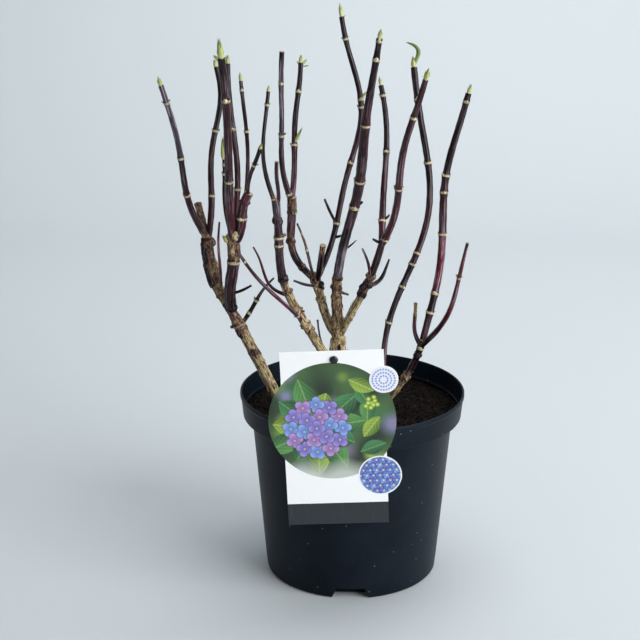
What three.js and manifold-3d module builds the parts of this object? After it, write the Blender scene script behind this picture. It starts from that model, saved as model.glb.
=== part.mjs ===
import * as THREE from 'three';
import { mergeVertices } from 'three/addons/utils/BufferGeometryUtils.js';
import Module from 'manifold-3d';

const wasm = await Module();
wasm.setup();

// A potted hydrangea in late winter: bare old wood, dark young shoots and green end buds, in a nursery pot.
// Millimetres, +Z up, +Y to the back. The origin is the centre of the pot's underside.

const GAP = 0.3; // left between pieces that touch

// Pot: a thin tapering wall, a wider collar under a rolled lip, and notches for drainage in the foot
const POT_HEIGHT = 194;
const LIP_RADIUS = 115;
const LIP_HEIGHT = 5;
const COLLAR_TOP_RADIUS = 114;
const COLLAR_FOOT_RADIUS = 112;
const COLLAR_HEIGHT = 25;
const LEDGE_SLOPE = 1; // the ledge under the collar falls by this much to the wall
const WALL_TOP_RADIUS = 103;
const WALL_FOOT_RADIUS = 89;
const WALL = 2;
const BASE_THICKNESS = 4;
const FOOT_BEVEL = 2;
const POT_SIDES = 48;
const NOTCH_COUNT = 4;
const NOTCH_FOOT_WIDTH = 40;
const NOTCH_TOP_WIDTH = 28;
const NOTCH_HEIGHT = 12;
const NOTCH_DEPTH = 16;

// Soil: fills the pot to just over the ledge inside the collar
const SOIL_TOP = 172;
const SOIL_EDGE_RADIUS = COLLAR_FOOT_RADIUS - WALL - GAP;

// Limbs
const THIN = 5; // a limb thinner than this, and a spur, has the fewest sides
const THICK = 10; // and a limb from this on the most
const THIN_SIDES = 5;
const MIDDLING_SIDES = 6;
const THICK_SIDES = 8;
const SECTION_STEP = 26; // longest stretch of limb between two sections
const RING_REACH = 2; // a ring swells over this much of the limb to each side
const RING_SWELL = 1.25;
const ROOT_FLARE = 1.3; // a stem is this much thicker at the soil
const ROOT_FLARE_HEIGHT = 22;
const ROOT_DEPTH = 8; // a stem is drawn from this far below the soil and cut level with it
const NECK = 0.7; // a limb starts inside its parent, at this share of the parent's thickness
const NECK_REACH = 2; // a neck widens to the limb's own thickness over this many of its half thicknesses
const BUD_WIDEST = 0.35; // a bud is widest at this share of its length
const BUD_SHOULDER = 0.8; // and half as wide at this one
const SPUR_SHOULDER = 0.6; // a spur keeps its thickness to this share of its reach
const SPUR_TIP = 0.35; // and ends at this share of its thickness
const ARC_DIVISIONS = 400; // of a limb's line, for its length

// Label card: an upright card with round lobes, held in front of the lip by a peg that stands in the soil
const CARD_WIDTH = 98;
const CARD_HEIGHT = 184;
const CARD_THICKNESS = 1;
const CARD_FOOT_HEIGHT = 94;
const CARD_FOOT_X = -12;
const CARD_ROLL = THREE.MathUtils.degToRad(2.4);
const CARD_TILT = THREE.MathUtils.degToRad(4);
const CARD_LOBES = [ // places on the card, from the middle of its foot
  { x: -2, z: 111, radius: 61 },
  { x: 48, z: 153, radius: 14 },
  { x: 42, z: 52, radius: 21 },
];
const LOBE_SIDES = 48;
const PEG_X = 2; // places of the peg's head, on the card
const PEG_Z = 175;
const PEG_HOLE_RADIUS = 3;
const PEG_NECK_RADIUS = 2.5;
const PEG_HEAD_RADIUS = 4;
const PEG_HEAD_LENGTH = 2;
const PEG_SIDES = 16;
const BLADE_WIDTH = 7;
const BLADE_THICKNESS = 3;
const BLADE_SETBACK = 3; // from the card's back to the middle of the blade
const BLADE_FOOT = [-12, -95]; // where it enters the soil

const COLOURS = {
  bark: 0x8f7a50,
  darkBark: 0x6b5238,
  shoot: 0x2a161f,
  crimson: 0x5c2031,
  pot: 0x22272c,
  soil: 0x1b1411,
  card: 0xe9ebee,
  peg: 0x101214,
};

// Every limb: its foot on the soil or the limb it grows from and how far along that one, where its tip is,
// how it waves to the right of a straight line (once, twice, three times), how far it bows to the back,
// its thickness at the foot, the middle and the tip, its rings in mm from the foot, its end bud and spurs.
const LIMBS = {
  left_stem: {
    foot: [-67, -6], tip: [-125, 8, 278], waves: [1], thick: [12, 12, 11], rings: [73, 108],
    colour: 'bark', spurs: [{ at: 109, reach: [-9, 0, -3], thick: 4 }],
  },
  left_bough_inner: {
    from: 'left_stem', along: 0.97, tip: [-121, -8, 359], waves: [1, -2], bow: -4, thick: [12, 12, 12],
    rings: [58], colour: 'shoot', spurs: [{ at: 21, reach: [22, -3, 10], thick: 3 }],
  },
  left_bough_outer: {
    from: 'left_stem', along: 0.95, tip: [-148, 26, 347], waves: [-7], bow: 2, thick: [9, 13, 11],
    colour: 'darkBark',
  },
  left_shoot_far: {
    from: 'left_bough_outer', along: 0.98, tip: [-185, -42, 523], waves: [-2, -4, -1], bow: -8,
    thick: [7, 6, 5], rings: [61, 105, 165], bud: [13, 5], colour: 'shoot',
  },
  left_stub_far: {
    from: 'left_bough_outer', along: 0.9, tip: [-159, 48, 377], thick: [8, 8, 8], colour: 'bark',
  },
  left_shoot_rear: {
    from: 'left_bough_outer', along: 0.94, tip: [-143, 80, 521], waves: [4, -3, 3], bow: 8,
    thick: [7, 6, 5], rings: [47, 114], bud: [11, 5], colour: 'shoot',
  },
  left_shoot_front: {
    from: 'left_bough_inner', along: 0.94, tip: [-123, -84, 564], waves: [3, -1], bow: -6,
    thick: [8, 8, 7], rings: [72, 160], bud: [24, 7], colour: 'shoot',
  },
  left_stub_near: {
    from: 'left_bough_inner', along: 0.88, tip: [-102, -20, 404], waves: [1, 2], thick: [11, 10, 9],
    rings: [32], colour: 'shoot',
  },
  left_shoot_middle: {
    from: 'left_bough_inner', along: 0.97, tip: [-125, 38, 532], waves: [5, 3], bow: 6, thick: [6, 6, 5],
    rings: [47, 107], bud: [12, 5], colour: 'shoot',
  },
  left_shoot_bud: {
    from: 'left_bough_inner', along: 0.99, tip: [-131, 12, 455], waves: [-2, -2], bow: 4,
    thick: [4, 4, 4], rings: [61, 70], bud: [27, 7], colour: 'shoot',
  },
  left_shoot_high: {
    from: 'left_stub_near', along: 0.86, tip: [-115, 60, 512], waves: [3, 1], bow: 14, thick: [4, 4, 4],
    rings: [77, 121], bud: [13, 4], colour: 'shoot',
  },
  left_shoot_low: {
    from: 'left_stub_near', along: 0.96, tip: [-86, -62, 463], waves: [-2, -1], bow: -4, thick: [4, 4, 4],
    rings: [47], bud: [9, 4], colour: 'shoot',
  },
  left_twig_crimson: {
    from: 'left_bough_outer', along: 0.3, tip: [-131, -22, 375], waves: [0, 1], bow: -6, thick: [3, 3, 2],
    colour: 'crimson',
  },
  left_twig_side: {
    from: 'left_stem', along: 0.83, tip: [-80, 10, 309], waves: [-1, 1], bow: 4, thick: [5, 4, 2],
    rings: [16, 31], colour: 'crimson',
  },

  trunk: {
    foot: [-11, 5], tip: [-16, 2, 314], waves: [0, 1], thick: [18, 14, 9], rings: [96], colour: 'bark',
    spurs: [{ at: 136, reach: [12, -2, -5], thick: 3 }],
  },
  middle_bough_left: {
    from: 'trunk', along: 0.28, tip: [-76, -22, 398], waves: [-19, 1, 1, -1], bow: -4,
    thick: [10, 9, 8], rings: [70, 162, 170], colour: 'darkBark',
    spurs: [{ at: 170, reach: [7, -2, 4], thick: 4 }],
  },
  middle_bough_fork: {
    from: 'trunk', along: 0.56, tip: [-38, 14, 308], waves: [-4, -1], bow: 4, thick: [10, 9, 9],
    colour: 'bark', spurs: [{ at: 58, reach: [-24, -8, 8], thick: 3 }],
  },
  middle_bough_right: {
    from: 'trunk', along: 0.56, tip: [29, -30, 360], waves: [3, -1], bow: -4, thick: [8, 8, 7],
    colour: 'darkBark', spurs: [{ at: 122, reach: [-9, -4, 5], thick: 3 }],
  },
  middle_shoot_front: {
    from: 'trunk', along: 0.97, tip: [24, -84, 573], waves: [3, 1, -1, -1], bow: -8, thick: [9, 10, 5],
    rings: [93, 123, 183, 249, 267], bud: [13, 5], colour: 'shoot',
    spurs: [{ at: 93, reach: [8, 0, 5], thick: 3 }, { at: 38, reach: [14, -4, 12], thick: 2 }],
  },
  middle_shoot_thin: {
    from: 'middle_bough_left', along: 0.97, tip: [-85, 48, 500], waves: [-10, -2], bow: 12,
    thick: [5, 4, 4], rings: [111], bud: [9, 4], colour: 'shoot',
  },
  middle_stub_thin: {
    from: 'middle_bough_left', along: 0.94, tip: [-74, -28, 437], waves: [1, 1], thick: [4, 4, 4],
    colour: 'darkBark',
  },
  middle_bough_inner: {
    from: 'middle_bough_fork', along: 0.96, tip: [-62, 26, 389], waves: [-14, -3], bow: 8,
    thick: [7, 8, 10], colour: 'crimson',
  },
  middle_shoot_cut: {
    from: 'middle_bough_inner', along: 0.95, tip: [-69, -12, 540], waves: [-6, -2, -1], bow: -6,
    thick: [6, 5, 5], rings: [10, 77, 131], colour: 'shoot',
  },
  middle_shoot_rear: {
    from: 'middle_bough_inner', along: 0.96, tip: [-55, 104, 523], waves: [-1, 0, 1], bow: 14,
    thick: [6, 6, 5], rings: [62, 120], bud: [12, 5], colour: 'shoot',
    spurs: [{ at: 64, reach: [8, -2, 18], thick: 4 }, { at: 146, reach: [9, -3, 2], thick: 2 }],
  },
  middle_shoot_tall: {
    from: 'middle_bough_fork', along: 0.95, tip: [-15, 76, 579], waves: [28, -2, -1, 3], bow: 10,
    thick: [6, 6, 5], rings: [62, 125, 182, 190, 252], bud: [18, 5], colour: 'shoot',
    spurs: [{ at: 62, reach: [-12, -6, 27], thick: 3 }, { at: 48, reach: [9, -4, 3], thick: 3 },
      { at: 190, reach: [6, -2, 9], thick: 3 }],
  },
  middle_stub_fork: {
    from: 'middle_bough_fork', along: 0.9, tip: [-30, -6, 348], thick: [5, 5, 5], colour: 'bark',
  },
  middle_twig_scaly: {
    from: 'middle_bough_fork', along: 0.86, tip: [-55, -18, 373], waves: [1, -1], bow: -6,
    thick: [3, 3, 2], rings: [53], colour: 'darkBark',
  },
  middle_shoot_upright: {
    from: 'middle_bough_right', along: 0.97, tip: [24, 42, 511], waves: [6, -2], bow: 10,
    thick: [7, 6, 5], rings: [23, 94, 150], bud: [13, 4], colour: 'shoot',
    spurs: [{ at: 24, reach: [7, -2, 6], thick: 3 }],
  },
  middle_shoot_leaning: {
    from: 'middle_bough_right', along: 0.95, tip: [67, -104, 541], waves: [-1, 3, 2], bow: -12,
    thick: [7, 7, 5], rings: [11, 78, 156], bud: [15, 6], colour: 'shoot',
  },
  middle_twig_upper: {
    from: 'middle_bough_right', along: 0.65, tip: [9, -52, 357], waves: [2], thick: [3, 3, 2],
    colour: 'crimson',
  },
  middle_twig_lower: {
    from: 'middle_bough_right', along: 0.57, tip: [36, -10, 335], waves: [6, 1], thick: [5, 4, 2],
    colour: 'darkBark',
  },
  red_twig_long: {
    from: 'middle_bough_left', along: 0.35, tip: [-110, -58, 354], waves: [-2, 1], bow: -6,
    thick: [4, 4, 3], rings: [14, 106], colour: 'crimson',
  },
  red_twig_short: {
    from: 'middle_bough_left', along: 0.51, tip: [-101, 22, 338], waves: [-9, -3], bow: 4,
    thick: [4, 3, 2], colour: 'crimson',
  },
  trunk_twig: {
    from: 'middle_bough_left', along: 0.13, tip: [-36, 12, 267], waves: [-2], thick: [3, 2, 2], bud: [4, 3],
    colour: 'darkBark',
  },

  rear_stem: {
    foot: [36, 55], tip: [61, 136, 517], waves: [21, -10, -7], bow: 6, thick: [6, 7, 7],
    rings: [80, 121, 147, 160, 257, 325], bud: [15, 6], colour: 'shoot',
    spurs: [{ at: 364, reach: [-11, -3, 17], thick: 3 }],
  },
  right_stem: {
    foot: [27, 7], tip: [71, -14, 252], waves: [4, -1], bow: -2, thick: [6, 7, 7], rings: [57, 92],
    colour: 'bark', spurs: [{ at: 56, reach: [4, -2, 15], thick: 3 }],
  },
  right_shoot_outer: {
    from: 'right_stem', along: 0.96, tip: [115, 26, 506], waves: [-2, 5, 1, -1], bow: 8, thick: [7, 8, 6],
    rings: [32, 52, 112, 154, 171, 246], bud: [13, 5], colour: 'shoot',
  },
  right_shoot_crimson: {
    from: 'right_stem', along: 0.93, tip: [106, -100, 376], waves: [9, 2], bow: -10, thick: [6, 5, 3],
    rings: [122], colour: 'crimson',
  },
  right_stub: {
    from: 'right_stem', along: 0.93, tip: [64, 12, 283], waves: [-4, -1], thick: [5, 4, 4],
    colour: 'bark',
  },
};

// Solids and booleans

function solidFrom(geometry) {
  geometry.deleteAttribute('normal');
  geometry.deleteAttribute('uv');
  const merged = mergeVertices(geometry, 1e-4);
  const index = merged.index.array;
  const kept = [];
  for (let i = 0; i < index.length; i += 3) {
    const [a, b, c] = [index[i], index[i + 1], index[i + 2]];
    if (a !== b && b !== c && c !== a) kept.push(a, b, c);
  }
  return new wasm.Manifold(new wasm.Mesh({
    numProp: 3,
    vertProperties: new Float32Array(merged.attributes.position.array),
    triVerts: new Uint32Array(kept),
  }));
}

function geometryFrom(solid) {
  const mesh = solid.getMesh();
  const geometry = new THREE.BufferGeometry();
  geometry.setAttribute('position', new THREE.BufferAttribute(new Float32Array(mesh.vertProperties), 3));
  geometry.setIndex(new THREE.BufferAttribute(new Uint32Array(mesh.triVerts), 1));
  geometry.computeVertexNormals();
  return geometry;
}

const plant = new THREE.Group();

function addMesh(name, solid, colour, roughness) {
  const material = new THREE.MeshStandardMaterial({ color: COLOURS[colour], roughness, metalness: 0 });
  const mesh = new THREE.Mesh(geometryFrom(solid), material);
  mesh.name = name;
  plant.add(mesh);
}

// A turned solid from an outline of [radius, height] pairs
function turned(outline, sides) {
  const points = outline.map(([radius, height]) => new THREE.Vector2(radius, height));
  return new THREE.LatheGeometry(points, sides).rotateX(Math.PI / 2);
}

// A limb's middle line: straight from foot to tip, waving across that line and bowing to the back

class LimbLine extends THREE.Curve {
  constructor(foot, tip, waves, bow) {
    super();
    this.foot = foot;
    this.tip = tip;
    this.waves = waves;
    this.bow = bow;
    this.right = new THREE.Vector3(tip.z - foot.z, 0, foot.x - tip.x).normalize();
  }

  getPoint(t, target = new THREE.Vector3()) {
    target.lerpVectors(this.foot, this.tip, t);
    this.waves.forEach((size, k) => {
      target.addScaledVector(this.right, size * Math.sin((k + 1) * Math.PI * t));
    });
    target.y += this.bow * Math.sin(Math.PI * t);
    return target;
  }
}

// Half the limb's thickness at a share t of its length
function limbRadius(thick, t) {
  const [foot, middle, tip] = thick;
  const diameter = t < 0.5 ? foot + (middle - foot) * 2 * t : middle + (tip - middle) * (2 * t - 1);
  return diameter / 2;
}

// The limb laid out straight: [radius, distance] from its foot to its cut end or the point of its bud
function limbOutline(limb, length, neckRadius) {
  const { thick, rings = [], bud } = limb;
  const woodEnd = bud ? length - bud[0] : length;
  const radiusAt = (s) => limbRadius(thick, s / length);
  const outline = [];
  if (neckRadius === undefined) {
    outline.push([radiusAt(0) * ROOT_FLARE, 0], [radiusAt(0), ROOT_FLARE_HEIGHT]);
  } else {
    const neck = Math.min(neckRadius, radiusAt(0));
    outline.push([neck, 0], [radiusAt(0), NECK_REACH * neckRadius]);
  }
  for (const ring of rings) {
    outline.push([radiusAt(ring), ring - RING_REACH]);
    outline.push([radiusAt(ring) * RING_SWELL, ring]);
    outline.push([radiusAt(ring), ring + RING_REACH]);
  }
  outline.push([radiusAt(woodEnd), woodEnd]);
  outline.sort((a, b) => a[1] - b[1]);
  const filled = [outline[0]];
  for (const point of outline.slice(1)) {
    const last = filled[filled.length - 1];
    const parts = Math.ceil((point[1] - last[1]) / SECTION_STEP);
    for (let k = 1; k < parts; k += 1) {
      const s = last[1] + ((point[1] - last[1]) * k) / parts;
      filled.push([radiusAt(s), s]);
    }
    if (point[1] - last[1] > 1) filled.push(point);
  }
  if (bud) {
    const [budLength, budWidth] = bud;
    filled.push([budWidth / 2, woodEnd + BUD_WIDEST * budLength]);
    filled.push([budWidth / 4, woodEnd + BUD_SHOULDER * budLength]);
    filled.push([0, length]);
  } else {
    filled.push([0, length]);
  }
  return [[0, 0], ...filled];
}

// A straight turned stick bent along a line, and made thicker all over by grow
function bentStick(outline, line, sides, grow) {
  const length = outline[outline.length - 1][1];
  const points = outline.map(([radius, s], k) => {
    const end = k === 0 ? -grow : k >= outline.length - 1 ? grow : 0;
    return new THREE.Vector2(radius > 0 ? radius + grow : 0, s + end);
  });
  const geometry = new THREE.LatheGeometry(points, sides);
  const place = geometry.attributes.position;
  const centre = new THREE.Vector3();
  const vertex = new THREE.Vector3();
  const back = new THREE.Vector3(0, 1, 0);
  for (let i = 0; i < place.count; i += 1) {
    const s = place.getY(i);
    const share = THREE.MathUtils.clamp(s / length, 0, 1);
    const ahead = line.getTangentAt(share);
    line.getPointAt(share, centre).addScaledVector(ahead, s - share * length);
    const right = new THREE.Vector3().crossVectors(back, ahead).normalize();
    const front = new THREE.Vector3().crossVectors(right, ahead);
    vertex.copy(centre).addScaledVector(right, place.getX(i)).addScaledVector(front, place.getZ(i));
    place.setXYZ(i, vertex.x, vertex.y, vertex.z);
  }
  return solidFrom(geometry);
}

// A short pointed side bud or stub that stands out of a limb
function spurStick(spur, line, length, grow) {
  const root = line.getPointAt(spur.at / length);
  const tip = root.clone().add(new THREE.Vector3(...spur.reach));
  const reach = root.distanceTo(tip);
  const radius = spur.thick / 2;
  const shoulder = SPUR_SHOULDER * reach;
  const outline = [[0, 0], [radius, 0], [radius, shoulder], [radius * SPUR_TIP, reach], [0, reach]];
  return bentStick(outline, new THREE.LineCurve3(root, tip), THIN_SIDES, grow);
}

// What a stem is cut by, level with the soil
const groundCut = solidFrom(turned([
  [0, 0],
  [SOIL_EDGE_RADIUS, 0],
  [SOIL_EDGE_RADIUS, SOIL_TOP + GAP],
  [0, SOIL_TOP + GAP],
], POT_SIDES));

// Each limb is cut clear of its parent and of the limbs that leave the same parent close to it
const grown = {}; // name: { from, foot, line, thick, room }

for (const [name, limb] of Object.entries(LIMBS)) {
  const parent = grown[limb.from];
  const foot = parent
    ? parent.line.getPointAt(limb.along)
    : new THREE.Vector3(...limb.foot, SOIL_TOP - ROOT_DEPTH);
  const tip = new THREE.Vector3(...limb.tip);
  const line = new LimbLine(foot, tip, limb.waves ?? [], limb.bow ?? 0);
  line.arcLengthDivisions = ARC_DIVISIONS;
  const length = line.getLength();
  const neck = parent ? NECK * limbRadius(parent.thick, limb.along) : undefined;
  const outline = limbOutline(limb, length, neck);
  const thickest = Math.max(...limb.thick);
  const finerSides = thickest < THIN ? THIN_SIDES : MIDDLING_SIDES;
  const sides = thickest < THICK ? finerSides : THICK_SIDES;
  const spurs = limb.spurs ?? [];
  const grow = (by) => spurs.reduce((whole, spur) => whole.add(spurStick(spur, line, length, by)),
    bentStick(outline, line, sides, by));
  let solid = grow(0);
  if (parent) {
    solid = solid.subtract(parent.room);
    for (const other of Object.values(grown)) {
      if (other.from === limb.from && other.foot.distanceTo(foot) < 2 * thickest) {
        solid = solid.subtract(other.room);
      }
    }
  } else {
    solid = solid.subtract(groundCut);
  }
  grown[name] = { from: limb.from, foot, line, thick: limb.thick, room: grow(GAP) };
  addMesh(name, solid, limb.colour, 0.6);
}

// Pot

// A block in the shape of one drainage notch, turned round to its side of the foot
function notch(turn) {
  const half = NOTCH_FOOT_WIDTH / 2;
  const top = NOTCH_TOP_WIDTH / 2;
  const shape = new THREE.Shape([
    new THREE.Vector2(-half, -1),
    new THREE.Vector2(half, -1),
    new THREE.Vector2(top, NOTCH_HEIGHT),
    new THREE.Vector2(-top, NOTCH_HEIGHT),
  ]);
  const block = new THREE.ExtrudeGeometry(shape, { depth: 2 * NOTCH_DEPTH, bevelEnabled: false });
  block.rotateX(Math.PI / 2).translate(0, -(WALL_FOOT_RADIUS - NOTCH_DEPTH), 0).rotateZ(turn);
  return solidFrom(block);
}

const collarFoot = POT_HEIGHT - COLLAR_HEIGHT;
let pot = solidFrom(turned([
  [0, 0],
  [WALL_FOOT_RADIUS - FOOT_BEVEL, 0],
  [WALL_FOOT_RADIUS, FOOT_BEVEL],
  [WALL_TOP_RADIUS, collarFoot - LEDGE_SLOPE],
  [COLLAR_FOOT_RADIUS, collarFoot],
  [COLLAR_TOP_RADIUS, POT_HEIGHT - LIP_HEIGHT],
  [LIP_RADIUS, POT_HEIGHT - LIP_HEIGHT + 1],
  [LIP_RADIUS, POT_HEIGHT - 1],
  [LIP_RADIUS - 1, POT_HEIGHT],
  [LIP_RADIUS - WALL, POT_HEIGHT],
  [COLLAR_FOOT_RADIUS - WALL, collarFoot + WALL],
  [WALL_TOP_RADIUS - WALL, collarFoot + WALL - LEDGE_SLOPE],
  [WALL_FOOT_RADIUS - WALL, BASE_THICKNESS],
  [0, BASE_THICKNESS],
], POT_SIDES));
for (let k = 0; k < NOTCH_COUNT; k += 1) pot = pot.subtract(notch((k * 2 * Math.PI) / NOTCH_COUNT));
addMesh('pot', pot, 'pot', 0.45);

// Soil

const soil = solidFrom(turned([
  [0, BASE_THICKNESS + GAP],
  [WALL_FOOT_RADIUS - WALL - GAP, BASE_THICKNESS + GAP],
  [WALL_TOP_RADIUS - WALL - GAP, collarFoot + WALL - LEDGE_SLOPE + GAP],
  [SOIL_EDGE_RADIUS, collarFoot + WALL + GAP],
  [SOIL_EDGE_RADIUS, SOIL_TOP],
  [0, SOIL_TOP],
], POT_SIDES));
addMesh('soil', soil, 'soil', 0.95);

// Label card, drawn upright with its back at y = 0 and its foot at z = 0, then rolled, tilted and placed

const touchHeight = POT_HEIGHT - LIP_HEIGHT - CARD_FOOT_HEIGHT; // of the lip's lower edge, on the card
const cardFootY = touchHeight * Math.tan(CARD_TILT) - LIP_RADIUS - GAP;

function onCard(geometry) {
  return geometry.rotateY(-CARD_ROLL).rotateX(CARD_TILT).translate(CARD_FOOT_X, cardFootY, CARD_FOOT_HEIGHT);
}

// A round post through the card's plane, from y = near to y = far
function post(x, z, radius, near, far, sides) {
  const geometry = new THREE.CylinderGeometry(radius, radius, far - near, sides);
  return solidFrom(onCard(geometry.translate(x, (near + far) / 2, z)));
}

const sheet = new THREE.BoxGeometry(CARD_WIDTH, CARD_THICKNESS, CARD_HEIGHT);
let card = solidFrom(onCard(sheet.translate(0, -CARD_THICKNESS / 2, CARD_HEIGHT / 2)));
for (const { x, z, radius } of CARD_LOBES) {
  card = card.add(post(x, z, radius, -CARD_THICKNESS, 0, LOBE_SIDES));
}
card = card.subtract(post(PEG_X, PEG_Z, PEG_HOLE_RADIUS, -2 * CARD_THICKNESS, CARD_THICKNESS, PEG_SIDES));
addMesh('card', card, 'card', 0.5);

// Peg: a round head and neck on a flat blade that stands in the soil inside the lip

const headFoot = -CARD_THICKNESS - GAP;
const [halfWidth, halfThickness] = [BLADE_WIDTH / 2, BLADE_THICKNESS / 2];
const blade = new THREE.Shape([
  new THREE.Vector2(-halfWidth, -halfThickness),
  new THREE.Vector2(halfWidth, -halfThickness),
  new THREE.Vector2(halfWidth, halfThickness),
  new THREE.Vector2(-halfWidth, halfThickness),
]);
const bladeTop = new THREE.Vector3(PEG_X, BLADE_SETBACK, PEG_Z + halfWidth);
bladeTop.applyAxisAngle(new THREE.Vector3(0, 1, 0), -CARD_ROLL);
bladeTop.applyAxisAngle(new THREE.Vector3(1, 0, 0), CARD_TILT);
bladeTop.add(new THREE.Vector3(CARD_FOOT_X, cardFootY, CARD_FOOT_HEIGHT));
const bladeFoot = new THREE.Vector3(...BLADE_FOOT, SOIL_TOP - ROOT_DEPTH);
const bladePath = new THREE.LineCurve3(bladeFoot, bladeTop);
const peg = solidFrom(new THREE.ExtrudeGeometry(blade, { steps: 1, extrudePath: bladePath }))
  .subtract(groundCut)
  .add(post(PEG_X, PEG_Z, PEG_NECK_RADIUS, headFoot - 1, BLADE_SETBACK, PEG_SIDES))
  .add(post(PEG_X, PEG_Z, PEG_HEAD_RADIUS, headFoot - PEG_HEAD_LENGTH, headFoot, PEG_SIDES));
addMesh('card_peg', peg, 'peg', 0.4);

export default plant;
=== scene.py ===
import math

import bmesh
import bpy
import numpy as np
from mathutils import Matrix, Vector


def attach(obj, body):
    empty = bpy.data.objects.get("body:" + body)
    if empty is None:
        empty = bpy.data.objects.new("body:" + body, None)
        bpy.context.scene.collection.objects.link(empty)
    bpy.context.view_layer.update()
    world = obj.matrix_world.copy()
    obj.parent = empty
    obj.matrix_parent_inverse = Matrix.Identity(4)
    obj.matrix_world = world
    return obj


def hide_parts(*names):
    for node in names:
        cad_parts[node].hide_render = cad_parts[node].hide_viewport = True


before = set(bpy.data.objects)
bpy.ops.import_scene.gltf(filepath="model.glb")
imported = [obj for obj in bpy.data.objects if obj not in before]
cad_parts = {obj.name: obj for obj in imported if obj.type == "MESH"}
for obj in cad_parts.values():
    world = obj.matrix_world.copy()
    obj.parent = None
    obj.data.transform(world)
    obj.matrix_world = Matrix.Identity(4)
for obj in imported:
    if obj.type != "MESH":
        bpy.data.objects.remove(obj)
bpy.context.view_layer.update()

# NURSERY POT
# The real pot is one thin injection moulding in black polypropylene: a tapering wall, a wider collar
# over a small ledge, a rolled lip, and four notches in the foot for drainage. Its skin is satin, with a
# fine moulded grain, a little pale dust and faint scuffs.

MM = 0.001  # every size of the plant is written in millimetres
POT_HEIGHT = 194
LIP_RADIUS = 115
LIP_HEIGHT = 5
COLLAR_TOP_RADIUS = 114
COLLAR_FOOT_RADIUS = 112
COLLAR_HEIGHT = 25
INNER_LEDGE = 175  # a small step inside the collar, just over the soil
INNER_LEDGE_STEP = 1.5
LEDGE_SLOPE = 1
WALL_TOP_RADIUS = 103
WALL_FOOT_RADIUS = 89
WALL = 2
BASE_THICKNESS = 4
FOOT_BEVEL = 2
POT_EDGE_RADIUS = 1.2
POT_SIDES = 192
POT_SHARP_ANGLE = 35
NOTCH_COUNT = 4
NOTCH_FOOT_WIDTH = 40
NOTCH_TOP_WIDTH = 28
NOTCH_HEIGHT = 12
NOTCH_DEPTH = 16


def new_object(name, mesh):
    piece = bpy.data.objects.new(name, mesh)
    bpy.context.scene.collection.objects.link(piece)
    return piece


def edit(mesh, change):
    """Lets a function change a mesh as a bmesh."""
    work = bmesh.new()
    work.from_mesh(mesh)
    change(work)
    work.to_mesh(mesh)
    work.free()


def mesh_object(name, vertices, faces, smooth=True, turn_outward=False):
    mesh = bpy.data.meshes.new(name)
    mesh.from_pydata([tuple(v) for v in vertices], [], [tuple(f) for f in faces])
    mesh.validate()
    mesh.polygons.foreach_set("use_smooth", [smooth] * len(mesh.polygons))
    if turn_outward:
        edit(mesh, lambda work: bmesh.ops.recalc_face_normals(work, faces=work.faces))
    return new_object(name, mesh)


def coat(piece, material):
    piece.data.materials.clear()
    piece.data.materials.append(material)


def settled(piece):
    """Applies a piece's modifiers, so that what is left is a plain mesh."""
    view = bpy.context.evaluated_depsgraph_get()
    made = bpy.data.meshes.new_from_object(piece.evaluated_get(view), depsgraph=view)
    piece.modifiers.clear()
    piece.data = made
    return piece


def combine(piece, tool, operation):
    """Cuts a tool out of a piece or joins it on, and removes the tool."""
    step = piece.modifiers.new("shape", "BOOLEAN")
    step.operation = operation
    step.solver = "EXACT"
    step.object = tool
    settled(piece)
    bpy.data.objects.remove(tool)


def shade_by_angle(piece, degrees):
    """Smooth shading, but sharp at edges that bend by more than this."""
    def change(work):
        for edge in work.edges:
            edge.smooth = len(edge.link_faces) == 2 and edge.calc_face_angle(0) < math.radians(degrees)
        for face in work.faces:
            face.smooth = True

    edit(piece.data, change)


def rounded(outline, radius, steps=5):
    """An outline with each corner turned into an arc, as far as the sides beside it leave room."""
    points = [np.array(p, float) for p in outline]
    result = [points[0]]
    for before, corner, after in zip(points, points[1:], points[2:]):
        back, on = before - corner, after - corner
        back_length, on_length = np.linalg.norm(back), np.linalg.norm(on)
        room = min(radius, 0.45 * back_length, 0.45 * on_length)
        start, end = corner + back / back_length * room, corner + on / on_length * room
        for t in np.arange(steps + 1) / steps:
            result.append((1 - t) ** 2 * start + 2 * t * (1 - t) * corner + t**2 * end)
    result.append(points[-1])
    return result


def circle(radius, height, sides):
    """Points of a level ring round Z."""
    turns = (math.tau * k / sides for k in range(sides))
    return [(radius * math.cos(turn), radius * math.sin(turn), height) for turn in turns]


def fan(middle, first, sides):
    """Faces from a middle point to the ring of points that starts at first."""
    return [(middle, first + (k + 1) % sides, first + k) for k in range(sides)]


def band(low, high, sides):
    """Faces between two rings of points that start at low and high."""
    nexts = [(k + 1) % sides for k in range(sides)]
    return [(low + k, low + nxt, high + nxt, high + k) for k, nxt in enumerate(nexts)]


def flipped(faces):
    return [(face[0], *face[:0:-1]) for face in faces]


def turned(name, outline, sides):
    """A solid of revolution round Z from [radius, height] pairs in mm that start and end on the axis."""
    vertices = [(0, 0, outline[0][1] * MM), (0, 0, outline[-1][1] * MM)]
    for radius, height in outline[1:-1]:
        vertices += circle(radius * MM, height * MM, sides)
    last = len(vertices) - sides
    faces = fan(0, 2, sides) + flipped(fan(1, last, sides))
    for low in range(2, last, sides):
        faces += band(low, low + sides, sides)
    return mesh_object(name, vertices, faces)


def linear(code):
    """A colour written as a hex code, as linear values."""
    parts = [int(code[k : k + 2], 16) / 255 for k in (1, 3, 5)]
    return tuple(p / 12.92 if p <= 0.04045 else ((p + 0.055) / 1.055) ** 2.4 for p in parts) + (1.0,)


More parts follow.
